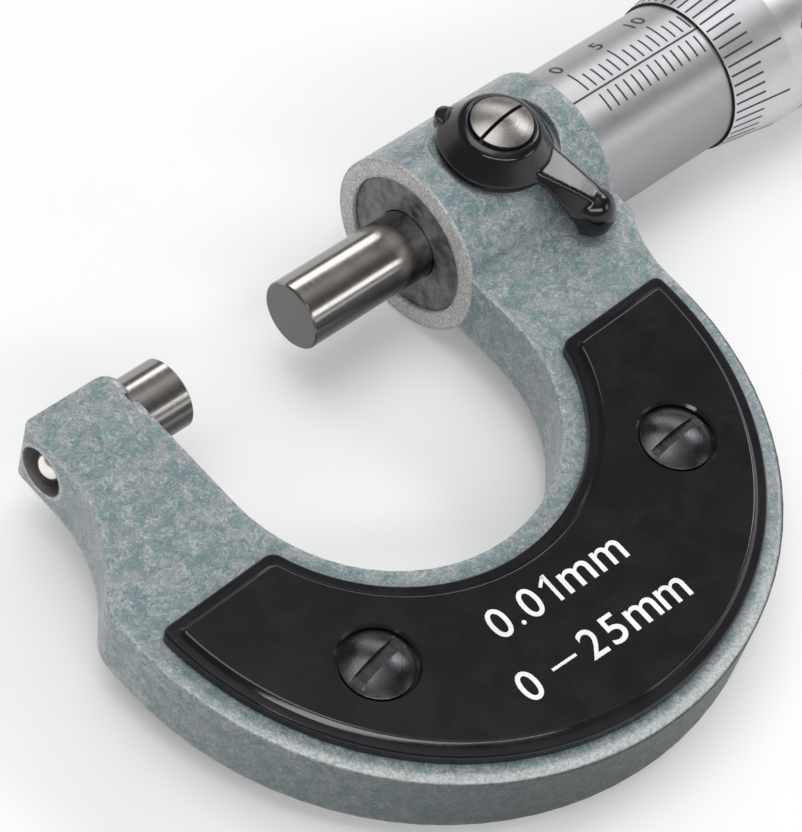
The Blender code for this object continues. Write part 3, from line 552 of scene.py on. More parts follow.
def distance(tree, first, second):
    """Return how far a place is from an axis, from its two parts across it."""
    return math_node(tree, "SQRT", math_node(
        tree, "ADD", math_node(tree, "POWER", first, 2.0),
        math_node(tree, "POWER", second, 2.0)))


def separated(tree, place):
    """Return the X, Y and Z of a place."""
    node = tree.nodes.new("ShaderNodeSeparateXYZ")
    tree.links.new(place, node.inputs[0])
    return tuple(node.outputs)


def feed(tree, socket, value):
    """Link a socket, or set its value."""
    if isinstance(value, bpy.types.NodeSocket):
        tree.links.new(value, socket)
    else:
        socket.default_value = value


def mix_colour(tree, factor, first, second):
    """Mix two colours. Return the result."""
    node = tree.nodes.new("ShaderNodeMix")
    node.data_type = "RGBA"
    feed(tree, node.inputs["Factor"], factor)
    feed(tree, node.inputs["A"], first)
    feed(tree, node.inputs["B"], second)
    return node.outputs["Result"]


def blend_value(tree, factor, low, high):
    """Return a value between low and high, by a factor of 0 to 1."""
    node = tree.nodes.new("ShaderNodeMapRange")
    feed(tree, node.inputs["Value"], factor)
    feed(tree, node.inputs["To Min"], low)
    feed(tree, node.inputs["To Max"], high)
    return node.outputs["Result"]


def noise(tree, place, scale, detail=2.0, roughness=0.5, distortion=0.0):
    """Add a noise texture. Return its value."""
    node = tree.nodes.new("ShaderNodeTexNoise")
    feed(tree, node.inputs["Vector"], place)
    feed(tree, node.inputs["Scale"], scale)
    node.inputs["Detail"].default_value = detail
    node.inputs["Roughness"].default_value = roughness
    node.inputs["Distortion"].default_value = distortion
    return node.outputs["Fac"]


def contrast(tree, value, low, high):
    """Stretch a value so that low becomes 0 and high becomes 1."""
    node = tree.nodes.new("ShaderNodeMapRange")
    node.interpolation_type = "SMOOTHSTEP"
    feed(tree, node.inputs["Value"], value)
    node.inputs["From Min"].default_value = low
    node.inputs["From Max"].default_value = high
    return node.outputs["Result"]


def hammered_group():
    """Hammered paint: broad tones, curly light veins round darker flakes, and dimples."""
    group, given, result = new_group(
        "Hammered Paint",
        [("Place", "NodeSocketVector", None), ("Green", "NodeSocketColor", (0.2, 0.3, 0.3, 1)),
         ("Grey", "NodeSocketColor", (0.4, 0.4, 0.4, 1)),
         ("Vein Size", "NodeSocketFloat", 0.85)],
        [("Colour", "NodeSocketColor"), ("Roughness", "NodeSocketFloat"),
         ("Height", "NodeSocketFloat")])
    place = given["Place"]
    broad = noise(group, place, 0.75, detail=3.0, roughness=0.6, distortion=0.4)
    curls = noise(group, place, given["Vein Size"], detail=3.0, roughness=0.62, distortion=1.6)
    fine = noise(group, place, 4.5, detail=2.0, roughness=0.6, distortion=0.3)
    # A vein runs wherever the curly noise crosses its middle
    away = math_node(group, "ABSOLUTE", math_node(group, "SUBTRACT", curls, 0.5))
    vein = contrast(group, away, 0.055, 0.0)
    flake = contrast(group, curls, 0.36, 0.62)
    tone = math_node(group, "MULTIPLY_ADD", flake, 0.45, contrast(group, broad, 0.36, 0.64))
    tone = math_node(group, "MULTIPLY_ADD", math_node(group, "SUBTRACT", fine, 0.5), 0.9, tone)
    tone = contrast(group, tone, 0.1, 1.25)
    body = mix_colour(group, tone, given["Green"], given["Grey"])
    bright = group.nodes.new("ShaderNodeMix")
    bright.data_type = "RGBA"
    bright.blend_type = "MULTIPLY"
    bright.inputs["Factor"].default_value = 1.0
    group.links.new(body, bright.inputs["A"])
    level = math_node(group, "MULTIPLY_ADD", vein, 0.55, math_node(
        group, "MULTIPLY_ADD", fine, 0.9, 0.42))
    group.links.new(level, bright.inputs["B"])
    group.links.new(bright.outputs["Result"], result["Colour"])
    group.links.new(blend_value(group, vein, 0.5, 0.34), result["Roughness"])
    height = math_node(group, "MULTIPLY_ADD", vein, 0.35, math_node(
        group, "MULTIPLY_ADD", fine, 0.45, curls))
    group.links.new(height, result["Height"])
    return group


def turning_group():
    """Turning marks: fine rings round the X axis and across faces, with a few deeper ones."""
    group, given, result = new_group(
        "Turning Marks",
        [("Place", "NodeSocketVector", None), ("Marks per mm", "NodeSocketFloat", 12.0),
         ("Smoothest", "NodeSocketFloat", 0.2), ("Roughest", "NodeSocketFloat", 0.35),
         ("Clouding", "NodeSocketFloat", 0.5)],
        [("Tone", "NodeSocketFloat"), ("Roughness", "NodeSocketFloat"),
         ("Height", "NodeSocketFloat")])
    x, y, z = separated(group, given["Place"])
    rings = group.nodes.new("ShaderNodeCombineXYZ")
    group.links.new(x, rings.inputs["X"])
    group.links.new(distance(group, y, z), rings.inputs["Y"])
    fine = noise(group, rings.outputs[0], given["Marks per mm"], detail=3.0, roughness=0.6)
    patches = noise(group, given["Place"], 0.7, detail=4.0, roughness=0.62, distortion=0.3)
    group.links.new(contrast(group, patches, 0.3, 0.7), result["Tone"])
    mixed = group.nodes.new("ShaderNodeMix")
    group.links.new(given["Clouding"], mixed.inputs["Factor"])
    group.links.new(fine, mixed.inputs["A"])
    group.links.new(patches, mixed.inputs["B"])
    group.links.new(blend_value(group, contrast(group, mixed.outputs["Result"], 0.3, 0.7),
                                given["Smoothest"], given["Roughest"]),
                    result["Roughness"])
    group.links.new(fine, result["Height"])
    return group


def scuff_group():
    """Handled plastic: faint grain, dust in the tone and a few soft scuffs."""
    group, given, result = new_group(
        "Handled Plastic",
        [("Place", "NodeSocketVector", None), ("Smoothest", "NodeSocketFloat", 0.15),
         ("Roughest", "NodeSocketFloat", 0.3)],
        [("Tone", "NodeSocketFloat"), ("Roughness", "NodeSocketFloat"),
         ("Height", "NodeSocketFloat")])
    place = given["Place"]
    patches = noise(group, place, 0.25, detail=4.0, roughness=0.65, distortion=0.5)
    grain = noise(group, place, 9.0, detail=2.0, roughness=0.5)
    stretched = group.nodes.new("ShaderNodeMapping")
    stretched.inputs["Rotation"].default_value = (0, 0, 0.4)
    stretched.inputs["Scale"].default_value = (0.25, 3.0, 1.0)
    group.links.new(place, stretched.inputs["Vector"])
    streaks = noise(group, stretched.outputs["Vector"], 1.2, detail=3.0, roughness=0.6,
                    distortion=0.4)
    scuffs = contrast(group, streaks, 0.60, 0.75)
    group.links.new(contrast(group, patches, 0.35, 0.7), result["Tone"])
    amount = math_node(group, "MULTIPLY_ADD", scuffs, 0.5, math_node(
        group, "MULTIPLY", contrast(group, patches, 0.3, 0.7), 0.5))
    group.links.new(blend_value(group, amount, given["Smoothest"],
                                given["Roughest"]), result["Roughness"])
    group.links.new(grain, result["Height"])
    return group


def shared_group(name):
    """Return a shared node group, which is built the first time."""
    makers = {"Hammered Paint": hammered_group, "Turning Marks": turning_group,
              "Handled Plastic": scuff_group}
    return bpy.data.node_groups.get(name) or makers[name]()


def start_material(name, group_name, centre=(0, 0, 0), turned=(0, 0, 0), **values):
    """Start a material that reads one shared group in the micrometer's axes and millimetres.

    Return it with its tree, its shader, its place and what the group puts out.
    """
    material = bpy.data.materials.new(name)
    material.use_nodes = True
    tree = material.node_tree
    shader = tree.nodes["Principled BSDF"]
    place = tree.nodes.new("ShaderNodeTexCoord").outputs["Object"]
    bench = tree.nodes.new("ShaderNodeMapping")
    bench.inputs["Scale"].default_value = (1 / MM, 1 / MM, 1 / MM)
    bench.inputs["Rotation"].default_value = (-REST, 0, 0)
    tree.links.new(place, bench.inputs["Vector"])
    own = tree.nodes.new("ShaderNodeMapping")
    own.vector_type = "TEXTURE"
    own.inputs["Location"].default_value = centre
    own.inputs["Rotation"].default_value = turned
    tree.links.new(bench.outputs["Vector"], own.inputs["Vector"])
    effect = tree.nodes.new("ShaderNodeGroup")
    effect.node_tree = shared_group(group_name)
    tree.links.new(own.outputs["Vector"], effect.inputs["Place"])
    for label, value in values.items():
        effect.inputs[label.replace("_", " ")].default_value = value
    return material, tree, shader, own.outputs["Vector"], effect.outputs


def link_finish(tree, shader, effect, tone):
    """Feed a colour and the shared group's roughness to the shader."""
    tree.links.new(tone, shader.inputs["Base Color"])
    tree.links.new(effect["Roughness"], shader.inputs["Roughness"])


def add_bump(tree, shader, height, relief, rounding=0.0):
    """Feed a height to the shader's normal. The relief and the rounding are in millimetres."""
    bump = tree.nodes.new("ShaderNodeBump")
    bump.inputs["Distance"].default_value = relief * MM
    feed(tree, bump.inputs["Height"], height)
    if rounding:
        soft_edge = tree.nodes.new("ShaderNodeBevel")
        soft_edge.samples = 6
        soft_edge.inputs["Radius"].default_value = rounding * MM
        tree.links.new(soft_edge.outputs["Normal"], bump.inputs["Normal"])
        tree.links.new(soft_edge.outputs["Normal"], shader.inputs["Coat Normal"])
    tree.links.new(bump.outputs["Normal"], shader.inputs["Normal"])


def nearness(tree, reach, inside):
    """Return how open a place is within a reach, in millimetres: 0 in a corner or at an edge."""
    node = tree.nodes.new("ShaderNodeAmbientOcclusion")
    node.samples = 6
    node.inside = inside
    node.only_local = True
    node.inputs["Distance"].default_value = reach * MM
    return node.outputs["AO"]


def shade(value, amount):
    """Return a colour made lighter or darker, with its alpha."""
    return (*[min(1.0, part * amount) for part in value], 1.0)


def metal(name, base, marks, polish, relief, centre=(0, 0, 0), turned=(0, 0, 0),
          clouding=0.5, unevenness=0.08, toned_places=(), painted_reflection_sides=(), painted_slot_shade=False):
    """Return a turned or ground metal, with painted reflection, shade and highlights where asked for.

    It has so many marks for each millimetre, a lowest and a highest roughness, and a relief.
    Each toned place has its middle along X, its reach and its tone, darker or lighter. Each
    painted reflection side has its direction across the axis, how far toward it the darkening
    starts and is full, and its tone.
    """
    material, tree, shader, place, effect = start_material(
        name, "Turning Marks", centre, turned, Marks_per_mm=marks, Smoothest=polish[0],
        Roughest=polish[1], Clouding=clouding)
    shader.inputs["Metallic"].default_value = 1.0
    tone = mix_colour(tree, effect["Tone"], shade(base, 1 - unevenness),
                      shade(base, 1 + unevenness))
    x, y, z = separated(tree, place)
    # Painted reflection: the side of the bar toward each given direction is darker, as dim
    # surroundings would mirror in it
    for angle, start, full, amount in painted_reflection_sides:
        toward = math_node(tree, "DIVIDE", weighed(tree, y, cos(angle), z, sin(angle)),
                           distance(tree, y, z))
        tone = mix_colour(tree, contrast(tree, toward, start, full), tone, shade(base, amount))
    # Painted shade: the slot and other hollows are darkened where nearby faces close them in
    if painted_slot_shade:
        closed = contrast(tree, nearness(tree, 0.7, False), 0.85, 0.4)
        tone = mix_colour(tree, closed, tone, shade(base, 0.2))
    # Toned places: a band along X is made darker or lighter, for darker measuring faces, painted
    # highlights and painted shade
    for centre_x, reach, amount in toned_places:
        here = math_node(tree, "COMPARE", x, centre_x, reach)
        tone = mix_colour(tree, here, tone, shade(base, amount))
    link_finish(tree, shader, effect, tone)
    add_bump(tree, shader, effect["Height"], relief)
    return material


def plastic(name, base, polish):
    """Return a glossy moulded plastic, with a lowest and a highest roughness."""
    material, tree, shader, _, effect = start_material(
        name, "Handled Plastic", Smoothest=polish[0], Roughest=polish[1])
    link_finish(tree, shader, effect,
                mix_colour(tree, effect["Tone"], shade(base, 0.8), shade(base, 1.35)))
    add_bump(tree, shader, effect["Height"], 0.002)
    return material


def hammered_paint(name):
    """Return the casting's paint, worn to speckles at its edges, with painted shade on the bow's wall
    and in its creases.

    The boss's face is bare iron, and a painted highlight runs along the bow's lower left edge.
    """
    colours = finishes()
    green, worn_paint, bare_iron = colours.paint_green, colours.paint_worn, colours.bare_iron
    material, tree, shader, place, effect = start_material(
        name, "Hammered Paint", Green=shade(green, 1), Grey=shade(colours.paint_grey, 1))
    x, y, z = separated(tree, place)
    radius = distance(tree, y, z)
    bare = product(
        tree, contrast(tree, x, BOSS_FRONT + 0.45, BOSS_FRONT + 0.15),
        math_node(tree, "GREATER_THAN", x, THROAT_X),
        contrast(tree, radius, BOSS_RADIUS + 0.1, BOSS_RADIUS - 0.1))
    grain = noise(tree, place, 4.5, detail=3.0, roughness=0.65, distortion=0.3)
    speckle = contrast(tree, grain, 0.42, 0.6)
    edge = contrast(tree, nearness(tree, 0.6, True), 0.84, 0.5)
    in_arm = math_node(tree, "LESS_THAN", x, ANVIL_FACE - 1)
    hole_rim = product(tree, contrast(tree, radius, ANVIL_SHANK + 0.6, ANVIL_SHANK + 0.35), in_arm)
    worn = product(tree, math_node(tree, "MAXIMUM", edge, hole_rim),
                   blend_value(tree, speckle, 0.25, 1.0))
    tone = mix_colour(tree, worn, effect["Colour"], shade(worn_paint, 1))
    iron = mix_colour(tree, speckle, shade(bare_iron, 0.95), shade(bare_iron, 1.6))
    tone = mix_colour(tree, bare, tone, iron)
    # Painted shade: creases and inner corners are darkened where nearby faces close them in
    crease = contrast(tree, nearness(tree, 1.6, False), 0.9, 0.35)
    tone = mix_colour(tree, product(tree, crease, 0.6), tone, shade(green, 0.1))
    # The anvil's hole is bare iron, darkened as painted shade
    in_hole = product(tree, math_node(tree, "LESS_THAN", radius, ANVIL_SHANK + 0.12), in_arm)
    tone = mix_colour(tree, in_hole, tone, shade(bare_iron, 0.3))
    # Painted shade: the bow's wall is darker, most of all toward its lower right side, and has less
    # clear coat
    across = math_node(tree, "SUBTRACT", x, THROAT_X)
    along = math_node(tree, "ADD", y, RIM_DROP)
    reach = distance(tree, across, along)
    lower_right = weighed(tree, across, 0.5, along, -0.87)
    wall = product(tree, contrast(tree, reach, RIM_RADIUS - 0.3, RIM_RADIUS - 0.02),
                   contrast(tree, along, 1, -5),
                   contrast(tree, lower_right, -0.9 * RIM_RADIUS, 0.8 * RIM_RADIUS))
    tone = mix_colour(tree, product(tree, wall, 0.9), tone, shade(green, 0.15))
    # Painted highlight: the bow's rounded edge is lighter along its lower left side
    lower_left = weighed(tree, across, -0.34, along, -0.94)
    painted_edge_highlight = product(tree, contrast(tree, reach, RIM_RADIUS - 1.3, RIM_RADIUS - 0.7),
                     contrast(tree, reach, RIM_RADIUS - 0.05, RIM_RADIUS - 0.3),
                     contrast(tree, lower_left, 0.3 * RIM_RADIUS, 0.85 * RIM_RADIUS),
                     blend_value(tree, speckle, 0.45, 0.9))
    tone = mix_colour(tree, painted_edge_highlight, tone, shade(worn_paint, 1))
    link_finish(tree, shader, effect, tone)
    shader.inputs["Metallic"].default_value = 0.1
    tree.links.new(blend_value(tree, wall, 0.6, 0.05), shader.inputs["Coat Weight"])
    shader.inputs["Coat Roughness"].default_value = 0.22
    add_bump(tree, shader, effect["Height"], 0.07, rounding=0.7)
    return material


def ink(name, base, roughness):
    """Return a matt ink or paint with slightly uneven cover."""
    material, tree, shader, _, effect = start_material(
        name, "Handled Plastic", Smoothest=roughness - 0.1, Roughest=roughness + 0.1)
    link_finish(tree, shader, effect,
                mix_colour(tree, effect["Tone"], shade(base, 0.92), shade(base, 1.08)))
    return material


def screw_metal(name, base, place, polish, painted_slot_shade=False):
    """Return the metal of one upright screw, with rings about its own axis."""
    return metal(name, base[:3], marks=6, polish=polish, relief=0.006, centre=(*place, 0),
                 turned=(0, pi / 2, 0), painted_slot_shade=painted_slot_shade)


def get_material(finish):
    """Return a finish, which is made the first time that it is asked for."""
    name = f"{finish}_finish"
    ready = bpy.data.materials.get(name)
    if ready:
        return ready
    colours = finishes()
    chrome = {"marks": 16, "polish": (0.36, 0.44), "relief": 0.0003, "clouding": 0.4,
              "unevenness": 0.03}
    makers = {
        "hammered_paint": lambda: hammered_paint(name),
        "black_plastic": lambda: plastic(name, colours.black_plastic, (0.08, 0.18)),
        "lever_plastic": lambda: plastic(name, colours.black_plastic, (0.12, 0.22)),
        "ground_steel": lambda: metal(
            name, colours.ground_steel, marks=14, polish=(0.14, 0.22), relief=0.001,
            clouding=0.3, unevenness=0.04,
            # The measuring faces are darker; the anvil's dome is lighter, as a painted highlight
            toned_places=((SPINDLE_FACE, 0.02, 0.35), (ANVIL_FACE, 0.02, 0.35),
                         (ANVIL_TAIL + 0.2, 0.7, 2.2)),
            # Painted reflection darkens the ground steel's underside and its top side
            painted_reflection_sides=((radians(235), 0.0, 0.4, 0.13), (0, 0.35, 0.85, 0.5))),
        "satin_chrome": lambda: metal(
            name, colours.satin_chrome, **chrome,
            # Painted reflection darkens the chrome's lower side
            painted_reflection_sides=((radians(205), 0.2, 0.95, 0.6),)),
        # Painted light: the thimble's chrome is a lighter copy of the satin chrome, and its front
        # edge is darkened as painted shade of the gap to the sleeve
        "thimble_chrome": lambda: metal(
            name, shade(colours.satin_chrome, 1.3)[:3], **chrome,
            toned_places=((THIMBLE_EDGE, 0.05, 0.08),)),
        "dark_steel": lambda: metal(name, colours.dark_steel, marks=3, polish=(0.4, 0.65),
                                    relief=0.015, clouding=0.9, unevenness=0.5),
        "bright_steel": lambda: metal(name, colours.bright_steel, marks=9, polish=(0.22, 0.38),
                                      relief=0.004),
        "brass": lambda: metal(name, colours.brass, marks=9, polish=(0.25, 0.4), relief=0.004),
        # The lock screw's steel is a darkened copy of the bright steel, as painted shade, with
        # painted shade in its slot
        "lock_screw_steel": lambda: screw_metal(
            name, shade(colours.bright_steel, 0.66), (LOCK_X, 0), polish=(0.24, 0.4),
            painted_slot_shade=True),
        "scale_ink": lambda: ink(name, colours.ink, 0.6),
        "plate_print": lambda: ink(name, colours.print_white, 0.5),
    }
    return makers[finish]()


# Pieces


def finish_frame():
    """Copy the casting from the CAD, and spot-face the boss under the lock lever."""
    piece = copy_of("frame", "cast_frame")
    combine(piece, add_rod("spot_face", HUB_RADIUS + 0.7, SPOT_FACE, 12, (LOCK_X, 0)))
    settle(piece, get_material("hammered_paint"), "frame_body", "hammered_paint", "frame",
           sharp=50)


def plate_blank(name, inset, corner, low, high):
    """Model a plate's outline, drawn in by an inset: a disc less the throat and the top."""
    disc, throat, top = PLATE_OUTER - inset, PLATE_INNER + inset, PLATE_TOP + inset
    piece = add_rod(name, disc, low, high, (THROAT_X, -RIM_DROP), 192)
    combine(piece, add_rod("throat", throat, 0, 9, (THROAT_X, -THROAT_DROP), 144))
    combine(piece, add_box("above", (90, 60, 20), (THROAT_X, 30 - top, 5)))
    outer = disc * cos(asin((RIM_DROP - top) / disc))
    inner = throat * cos(asin((top - THROAT_DROP) / throat))
    corners = [(THROAT_X + side * reach, -top) for side in (-1, 1) for reach in (outer, inner)]

    def corner_edges(nearest, farthest):
        """Return a test for upright edges that start this far from a corner."""
        verts = piece.data.vertices

        def test(item):
            start, end = (verts[index].co for index in item.vertices)
            upright = hypot(start.x - end.x, start.y - end.y) < 0.01
            away = min(hypot(start.x - x, start.y - y) for x, y in corners)
            return upright and nearest <= away < farthest
        return test

    # The arcs' edges beside a corner make room for its rounding
    pick(piece, "edges", corner_edges(0.05, corner * 1.5))
    bpy.ops.mesh.dissolve_edges(use_verts=True)
    editing(False)
    pick(piece, "edges", corner_edges(0, 0.05))
    bpy.ops.mesh.bevel(offset=corner, segments=6, affect="EDGES")
    editing(False)
    dissolve(piece)
    return piece


def inset_top(piece, steps):
    """Draw the top face in by steps of (thickness, rise)."""
    pick(piece, "polygons", lambda face: face.normal.z > 0.99)
    for thickness, rise in steps:
        bpy.ops.mesh.inset(thickness=thickness, depth=rise, use_even_offset=True)
    editing(False)


def build_plate(name):
    """Model an insulating plate: a border with a rolled edge round a flat, raised middle."""
    piece = plate_blank(name, 0, PLATE_CORNER, PLATE_FOOT, BORDER_FACE - 0.24)
    inset_top(piece, ROLLED_EDGE)
    raised = plate_blank("middle", MIDDLE_INSET, MIDDLE_CORNER, PLATE_FOOT + 0.3,
                         BORDER_FACE + 0.02)
    inset_top(raised, MIDDLE_EDGE)
    combine(piece, raised, "UNION")
    for side in (-1, 1):
        place = (THROAT_X + side * SCREW_SPREAD, -SCREW_DROP)
        seat, room = PLATE_FACE - 0.6, SCREW_HEAD + 0.2
        bore = turn("counterbore", [(seat, 0.5), (seat, room), (PLATE_FACE - 0.22, room),
                                    (PLATE_FACE + 0.2, room + 0.4)], 96, upright=True)
        combine(piece, moved(bore, (*place, 0)))
        combine(piece, add_rod("hole", SCREW_SHANK + 0.3, 0, 9, place, 48))
    return turned_plate(piece)


def turned_plate(piece):
    """Turn a piece of the front plate about the throat's centre, as the plate sits."""
    centre = Matrix.Translation((THROAT_X, -THROAT_DROP, 0))
    piece.data.transform(centre @ Matrix.Rotation(PLATE_TURN, 4, "Z") @ centre.inverted())
    return piece


def screw_place(side):
    """Return the place of a front plate's screw."""
    spread, drop = side * SCREW_SPREAD, THROAT_DROP - SCREW_DROP
    return (THROAT_X + spread * cos(PLATE_TURN) - drop * sin(PLATE_TURN),
            -THROAT_DROP + spread * sin(PLATE_TURN) + drop * cos(PLATE_TURN))


def build_plate_screw(name, slot_turn, slot_width):
    """Model a domed screw with a slot, on its own axis."""
    seat = PLATE_FACE - 0.5
    rim = seat + 0.2
    height = 0.93
    piece = turn(name, [
        (PLATE_FOOT - 2.4, 1.0), (PLATE_FOOT - 2.1, SCREW_SHANK), (seat, SCREW_SHANK),
        (seat, SCREW_HEAD, 0.06), (rim, SCREW_HEAD),
        *domed(SCREW_HEAD, height, rim, (0.97, 0.9, 0.75, 0.6, 0.45, 0.3, 0.15, 0.04))],
        72, upright=True)
    combine(piece, add_box("slot", (9, slot_width, 1.5), (0, 0, rim + height), slot_turn))
    soften(piece, 0.07)
    return piece


def finish_plates():
    """Fit both plates and their four screws."""
    colours = finishes()
    for side_name in ("front", "back"):
        plate = build_plate(f"{side_name}_insulating_plate")
        if side_name == "back":
            to_back(plate)
        settle(plate, get_material("black_plastic"), "frame_body", "black_plastic",
               f"{side_name}_plate")
        for side, word, slot_turn, slot_width in ((-1, "left", 9, 1.1), (1, "right", 3, 0.85)):
            x, y = screw_place(side)
            screw = build_plate_screw(f"{side_name}_{word}_screw", radians(slot_turn), slot_width)
            moved(screw, (x, y, 0))
            if side_name == "back":
                to_back(screw)
                x = 2 * THROAT_X - x
            steel = screw_metal(f"{side_name}_{word}_screw_steel", colours.black_steel, (x, y),
                                polish=(0.2, 0.38))
            settle(screw, steel, "frame_body", "black_oxide",
                   f"{side_name}_plate_screw_{word}")


# Each figure of the print: where it starts and ends along X, its foot and its height
PRINT = (("0", 3.62, 5.40, -35.30, 2.74), (".", 5.98, 6.38, -35.26, 0.40),
         ("0", 6.93, 8.72, -35.42, 2.74),
         ("m", 11.12, 14.20, -35.50, 1.98), ("m", 14.72, 17.62, -35.62, 1.98),
         ("0", 1.66, 3.44, -40.84, 2.74), ("2", 8.38, 10.12, -41.02, 2.72),
         ("5", 10.76, 12.48, -41.10, 2.70), ("m", 13.10, 16.14, -41.14, 1.98),
         ("m", 16.48, 19.36, -41.26, 1.98))
PRINT_MIDDLE = (10.5, -37.0)
PRINT_TURN = radians(-2)


def finish_plate_print():
    """Print the range and the graduation on the front plate."""
    size = sizes()
    thickness = size.ink_height / MM
    foot_z = PLATE_FACE + thickness / 2
    # The dash, and the 1 with its stem and its flag
    pieces = [add_box("dash", (2.56, 0.26, thickness), (6.26, -39.6, foot_z), PRINT_TURN),
              add_box("stem", (0.36, 2.68, thickness), (10.25, -34.08, foot_z), PRINT_TURN),
              add_box("flag", (0.30, 1.05, thickness), (9.86, -33.18, foot_z), radians(-52))]
    for text, left, right, foot, tall in PRINT:
        figure = lettering("figure", text, tall, thickness)
        figure.rotation_euler.z = PRINT_TURN
        figure.scale = ((right - left) / figure.dimensions.x, tall / figure.dimensions.y, 1)
        apply_place(figure)
        offset = Vector(((left + right) / 2, foot + tall / 2, foot_z)) - middle(figure)
        pieces.append(moved(figure, offset))
    piece = joined("plate_lettering", pieces)
    scale = size.letter_height / MM / PRINT_HEIGHT
    about = Matrix.Translation((*PRINT_MIDDLE, 0))
    piece.data.transform(about @ Matrix.Diagonal((scale, scale, 1, 1)) @ about.inverted())
    settle(piece, get_material("plate_print"), "frame_body", "black_plastic")


def finish_measuring_faces():
    """Turn the anvil and the spindle."""
    edge = sizes().edge_round / MM
    radius = MEASURING_RADIUS
    dome = [(ANVIL_DOME + depth, rise) for depth, rise in (
        (0, 0.1), (0.07, 0.45), (0.25, 0.85), (0.52, 1.18), (0.85, 1.42), (1.3, 1.55),
        (1.3, ANVIL_SHANK))]
    anvil = turn("ground_anvil", [
        *dome, (ANVIL_SEAT, ANVIL_SHANK), (ANVIL_SEAT, radius), (ANVIL_FACE - edge, radius),
        (ANVIL_FACE, radius - edge)], 128)
    settle(anvil, get_material("ground_steel"), "frame_body", "ground_steel", "anvil")
    spindle = turn("ground_spindle", [
        (SPINDLE_FACE, radius - edge), (SPINDLE_FACE + edge, radius),
        (SPINDLE_SHOULDER - 0.1, radius), (SPINDLE_SHOULDER + 0.1, SCREW_RADIUS),
        (TAPER_START, SCREW_RADIUS), (SPINDLE_TAIL, 2.3), (SPINDLE_TAIL, 1.5),
        (SPINDLE_TAIL - 7, 1.5)], 128)
    settle(spindle, get_material("ground_steel"), "spindle", "ground_steel", "spindle")


def sleeve_radius(_x):
    """Return the radius of the sleeve, which is the same at every place."""
    return SLEEVE_RADIUS


def thimble_radius(x):
    """Return the radius of the thimble's bevel and body."""
    share = min(1.0, (x - THIMBLE_EDGE) / (BEVEL_END - THIMBLE_EDGE))
    return LIP_RADIUS + (THIMBLE_RADIUS - LIP_RADIUS) * share


def scale_line(start, end, low, high, radius_at):
    """Return one line of a scale: from start to end along X, from low to high as angles."""
    thickness = sizes().ink_height / MM
    line = add_box("line", (end - start, high - low, thickness * 2),
                   ((start + end) / 2, (low + high) / 2, 0))
    slice_up(line, low, high, max(1, round((high - low) / radians(2))))
    wrap(line, radius_at)
    return line


def finish_sleeve():
    """Turn the graduated sleeve and fill in its scale."""
    size = sizes()
    edge = size.edge_round / MM
    sleeve = turn("graduated_sleeve_body", [
        (SLEEVE_START, SLEEVE_BORE), (SLEEVE_START, SLEEVE_RADIUS, edge),
        (SLEEVE_END, SLEEVE_RADIUS, edge), (SLEEVE_END, SLEEVE_BORE),
        (SLEEVE_START, SLEEVE_BORE)], 160, solid=False)
    settle(sleeve, get_material("satin_chrome"), "frame_body", "satin_chrome",
           "graduated_sleeve")
    half = size.line_width / MM / 2
    index_half = half / SLEEVE_RADIUS
    lines = [scale_line(SLEEVE_START + 0.2, SLEEVE_END - 0.3, INDEX_ANGLE - index_half,
                        INDEX_ANGLE + index_half, sleeve_radius)]
    # A line for each millimetre over the index line, and one for each half under it
    marks = [(ZERO_X + step, UPPER_FIVES if step % 5 == 0 else UPPER_LINES)
             for step in range(26)]
    marks += [(ZERO_X + 0.5 + step, LOWER_LINES) for step in range(25)]
    lines += [scale_line(x - half, x + half, *ends, sleeve_radius) for x, ends in marks]
    settle(joined("sleeve_scale", lines), get_material("scale_ink"), "frame_body",
           "satin_chrome")
    height = size.number_height / MM
    numbers = [round_number(str(step), ZERO_X + step, radians(33), height, sleeve_radius)
               for step in range(0, 26, 5)]
    settle(joined("sleeve_numbers", numbers), get_material("scale_ink"), "frame_body",
           "satin_chrome")


def round_number(text, x, angle, height, radius_at):
    """Return a number wrapped on a round part, centred on a place along X and an angle."""
    thickness = sizes().ink_height / MM * 2
    piece = lettering("number", text, height * 1.37, thickness)
    piece = moved(piece, -middle(piece))
    reach = radius_at(x)
    tall = piece.dimensions.y
    slice_up(piece, -tall / 2, tall / 2, 8)
    for vert in piece.data.vertices:
        vert.co = (vert.co.x + x, vert.co.y / reach + angle, vert.co.z)
    wrap(piece, radius_at)
    return piece


